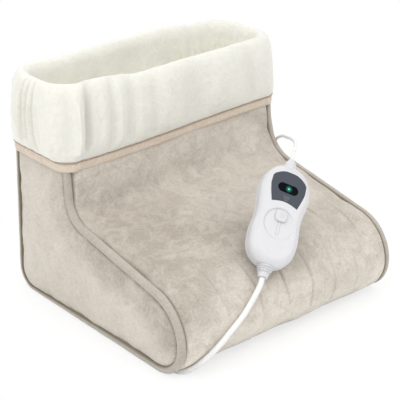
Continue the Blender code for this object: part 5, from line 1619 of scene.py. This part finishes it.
class AddController(bpy.types.Operator):
    """Slide-switch controller with its fascia, window, slider and reliefs"""

    bl_idname = "foot_warmer.add_controller"
    bl_label = "Add Controller"

    def execute(self, context):
        self.matrix = controller_matrix()
        self.add_shell("housing_front", 1, "controller_front_shell")
        self.add_shell("housing_back", -1, "controller_back_shell")
        self.add_fascia()
        self.add_window()
        self.add_level_marks()
        self.add_slot()
        self.add_knob()
        self.add_reliefs()
        finish = palette()
        for index in range(1, 5):
            dress(f"back_screw_{index}", finish.steel)
        dress("circuit_board", finish.board)
        dress("slide_switch", finish.black)
        dress("indicator_light", finish.glow)
        return {"FINISHED"}

    def finish_piece(self, name, bm, material, slot, nodes, body="boot", smooth_angle=50):
        face_outwards(bm)
        bmesh.ops.transform(bm, matrix=self.matrix, verts=bm.verts[:])
        return add_piece(name, bm, material, nodes, body, smooth_angle)

    def add_shell(self, name, sign, node):
        outline = body_outline()
        start = sign * PARTING_GAP / 2

        def height_at(place, away):
            dip = dish_dip(place.x, place.y) if sign > 0 else 0.0
            return sign * (HALF_BODY - edge_rise(away, BODY_EDGE) - dip)

        rings = [[Vector((point.x * 0.985, point.y * 0.985, start)) for point in outline]]
        rings += [level(outline, start + sign * 0.4 * MM), level(outline, sign * 3 * MM)]
        rings += domed_rings(outline, Vector((0, 0)), 64, height_at)
        bm = skin(rings, capped=True)
        self.finish_piece(name, bm, palette().white, "white_plastic", [node])

    def plate(self, name, outline, centre, bottom, top, edge, material, slot, nodes, steps=8):
        """A thin plate of an outline, with its upper edge rounded."""

        def height_at(place, away):
            return top - edge_rise(away, edge)

        rings = [level(outline, bottom)] + domed_rings(outline, centre, steps, height_at)
        self.finish_piece(name, skin(rings, capped=True), material, slot, nodes)

    def add_fascia(self):
        middle = Vector((0, (FASCIA_TOP + FASCIA_LOW) / 2))
        self.plate(
            "fascia_shield", fascia_outline(), middle, HALF_BODY - 0.6 * MM, HALF_BODY + 0.25 * MM,
            0.5 * MM, palette().grey, "grey_plastic", ["display_fascia"], steps=10,
        )

    def add_window(self):
        outline = stadium_outline(WINDOW_LENGTH, WINDOW_HEIGHT, WINDOW_Y)
        top = HALF_BODY + 0.45 * MM
        glow = self.matrix @ Vector((0.8 * MM, WINDOW_Y, top))
        self.plate(
            "window_lens", outline, Vector((0, WINDOW_Y)), HALF_BODY - 0.4 * MM, top, 0.5 * MM,
            window_material(glow), "window_plastic", ["display_window"],
        )

    def add_level_marks(self):
        """Three short printed bars under the window."""
        bm = bmesh.new()
        for index in range(3):
            grow = Matrix.Diagonal(((7.5 - 1.4 * index) * MM, 0.55 * MM, 0.12 * MM, 1))
            place = Matrix.Translation((0.4 * MM, 20.4 * MM - 2.1 * MM * index, HALF_BODY + 0.27 * MM))
            bmesh.ops.create_cube(bm, size=1, matrix=place @ grow)
        self.finish_piece("level_marks", bm, palette().mark, "grey_plastic", [])

    def add_slot(self):
        """The slider's slot as a mid grey sheet of painted shade, and its guide bar, from under the knob at
        rest to below its travel.
        """
        floor = HALF_BODY - DISH_DEPTH
        run = SLOT_HIGH - SLOT_LOW
        middle = Vector((0, (SLOT_LOW + SLOT_HIGH) / 2))
        for name, width, length, rise, finish in (
            ("slot_floor", 3.9 * MM, run, 0.06 * MM, palette().shadow),
            ("slot_guide", 2.3 * MM, run - 1.6 * MM, 0.2 * MM, palette().white),
        ):
            outline = [Vector((p.y, p.x + middle.y)) for p in stadium_outline(length, width, 0.0)]
            self.plate(
                name, outline, middle, floor - 0.5 * MM, floor + rise, 0.05 * MM, finish, "white_plastic", []
            )

    def add_knob(self):
        outline = []
        for step in range(64):
            angle = 2 * pi * step / 64
            c, s = cos(angle), sin(angle)
            reach = (abs(c) ** KNOB_SQUARENESS + abs(s) ** KNOB_SQUARENESS) ** (-1 / KNOB_SQUARENESS)
            outline.append(Vector((reach * c * KNOB_WIDTH / 2, KNOB_Y + reach * s * KNOB_HEIGHT / 2)))
        low = HALF_BODY - DISH_DEPTH + SEAM_GAP

        def height_at(place, away):
            across = (place.x / KNOB_WIDTH) ** 2 + ((place.y - KNOB_Y) / KNOB_HEIGHT) ** 2
            rib = 0.25 * MM * cos(2 * pi * (place.y - KNOB_Y) / KNOB_RIB_PITCH)
            rib *= smoothstep(away, 2 * MM, 3.4 * MM)
            return low + KNOB_RISE * (1 - 0.5 * across) - edge_rise(away, 1.6 * MM) + rib

        rings = [level(outline, low)] + domed_rings(outline, Vector((0, KNOB_Y)), 20, height_at)
        bm = skin(rings, capped=True)
        self.finish_piece("thumb_slider", bm, palette().white, "white_plastic", ["slide_knob"], "slide_knob")

    def add_reliefs(self):
        half = BODY_LENGTH / 2
        flare = [(RELIEF_BORE, -6 * MM), (8 * MM, -6 * MM), (7.9 * MM, -2 * MM), (7.4 * MM, 0.0)]
        for step in range(1, 11):
            share = step / 10
            taper = 1 - 0.45 * share - 0.55 * smoothstep(share, 0.5, 1.0)
            flare.append((2.7 * MM + 4.7 * MM * taper, share * TOP_RELIEF_LENGTH))
        flare.append((RELIEF_BORE, TOP_RELIEF_LENGTH))
        turn = Matrix.Translation((0, half, 0)) @ Matrix.Rotation(-pi / 2, 4, "X")
        self.turned("lead_relief", flare, turn, "top_relief")
        ribs = [(RELIEF_BORE, -5 * MM), (9.8 * MM, -5 * MM), (9.6 * MM, -1.6 * MM)]
        for rib in range(4):
            foot = rib * 2.3 * MM - 0.9 * MM
            radius = 9.3 * MM - 0.95 * MM * rib
            for along, cut in ((0.0, 0.85), (0.3, 0.9), (0.7, 0.2), (1.15, 0.0), (1.6, 0.1), (1.9, 0.5)):
                ribs.append((radius - cut * MM, foot + along * MM))
        for step in range(6):
            share = step / 5
            ribs.append((5.9 * MM - 0.9 * MM * share, 8.4 * MM + share * (LOW_RELIEF_LENGTH - 8.4 * MM)))
        ribs.append((RELIEF_BORE, LOW_RELIEF_LENGTH))
        turn = Matrix.Translation((0, -half, 0)) @ Matrix.Rotation(pi / 2, 4, "X")
        self.turned("cord_relief", ribs, turn, "bottom_relief")

    def turned(self, name, profile, place, node):
        bm = bmesh.new()
        verts = [bm.verts.new((radius, 0, height)) for radius, height in profile]
        edges = [bm.edges.new(pair) for pair in zip(verts, verts[1:])]
        bmesh.ops.spin(
            bm, geom=verts + edges, cent=(0, 0, 0), axis=(0, 0, 1), angle=2 * pi, steps=32, use_merge=True
        )
        bmesh.ops.remove_doubles(bm, verts=bm.verts[:], dist=0.02 * MM)
        bmesh.ops.holes_fill(bm, edges=bm.edges[:], sides=0)
        bmesh.ops.transform(bm, matrix=place, verts=bm.verts[:])
        self.finish_piece(name, bm, palette().white, "white_plastic", [node], smooth_angle=40)


class FootWarmerPanel(bpy.types.Panel):
    """Lists the pieces in the order they are made"""

    bl_idname = "VIEW3D_PT_foot_warmer"
    bl_label = "Foot Warmer"
    bl_space_type = "VIEW_3D"
    bl_region_type = "UI"
    bl_category = "Foot Warmer"

    def draw(self, context):
        for name in FootWarmerSettings.__annotations__:
            self.layout.prop(context.scene.foot_warmer, name)
        for kind in OPERATORS:
            self.layout.operator(kind.bl_idname)


OPERATORS = (AddStage, AddCords, AddPanels, AddBindings, AddCuff, AddLining, AddController)
CLASSES = (FootWarmerSettings, *OPERATORS, FootWarmerPanel)


def register():
    for kind in CLASSES:
        bpy.utils.register_class(kind)
    bpy.types.Scene.foot_warmer = PointerProperty(type=FootWarmerSettings)


def unregister():
    del bpy.types.Scene.foot_warmer
    for kind in reversed(CLASSES):
        bpy.utils.unregister_class(kind)


def main():
    register()
    bpy.ops.foot_warmer.add_stage()
    bpy.ops.foot_warmer.add_cords()
    bpy.ops.foot_warmer.add_panels()
    bpy.ops.foot_warmer.add_bindings()
    bpy.ops.foot_warmer.add_cuff()
    bpy.ops.foot_warmer.add_lining()
    bpy.ops.foot_warmer.add_controller()


if __name__ == "__main__":
    main()
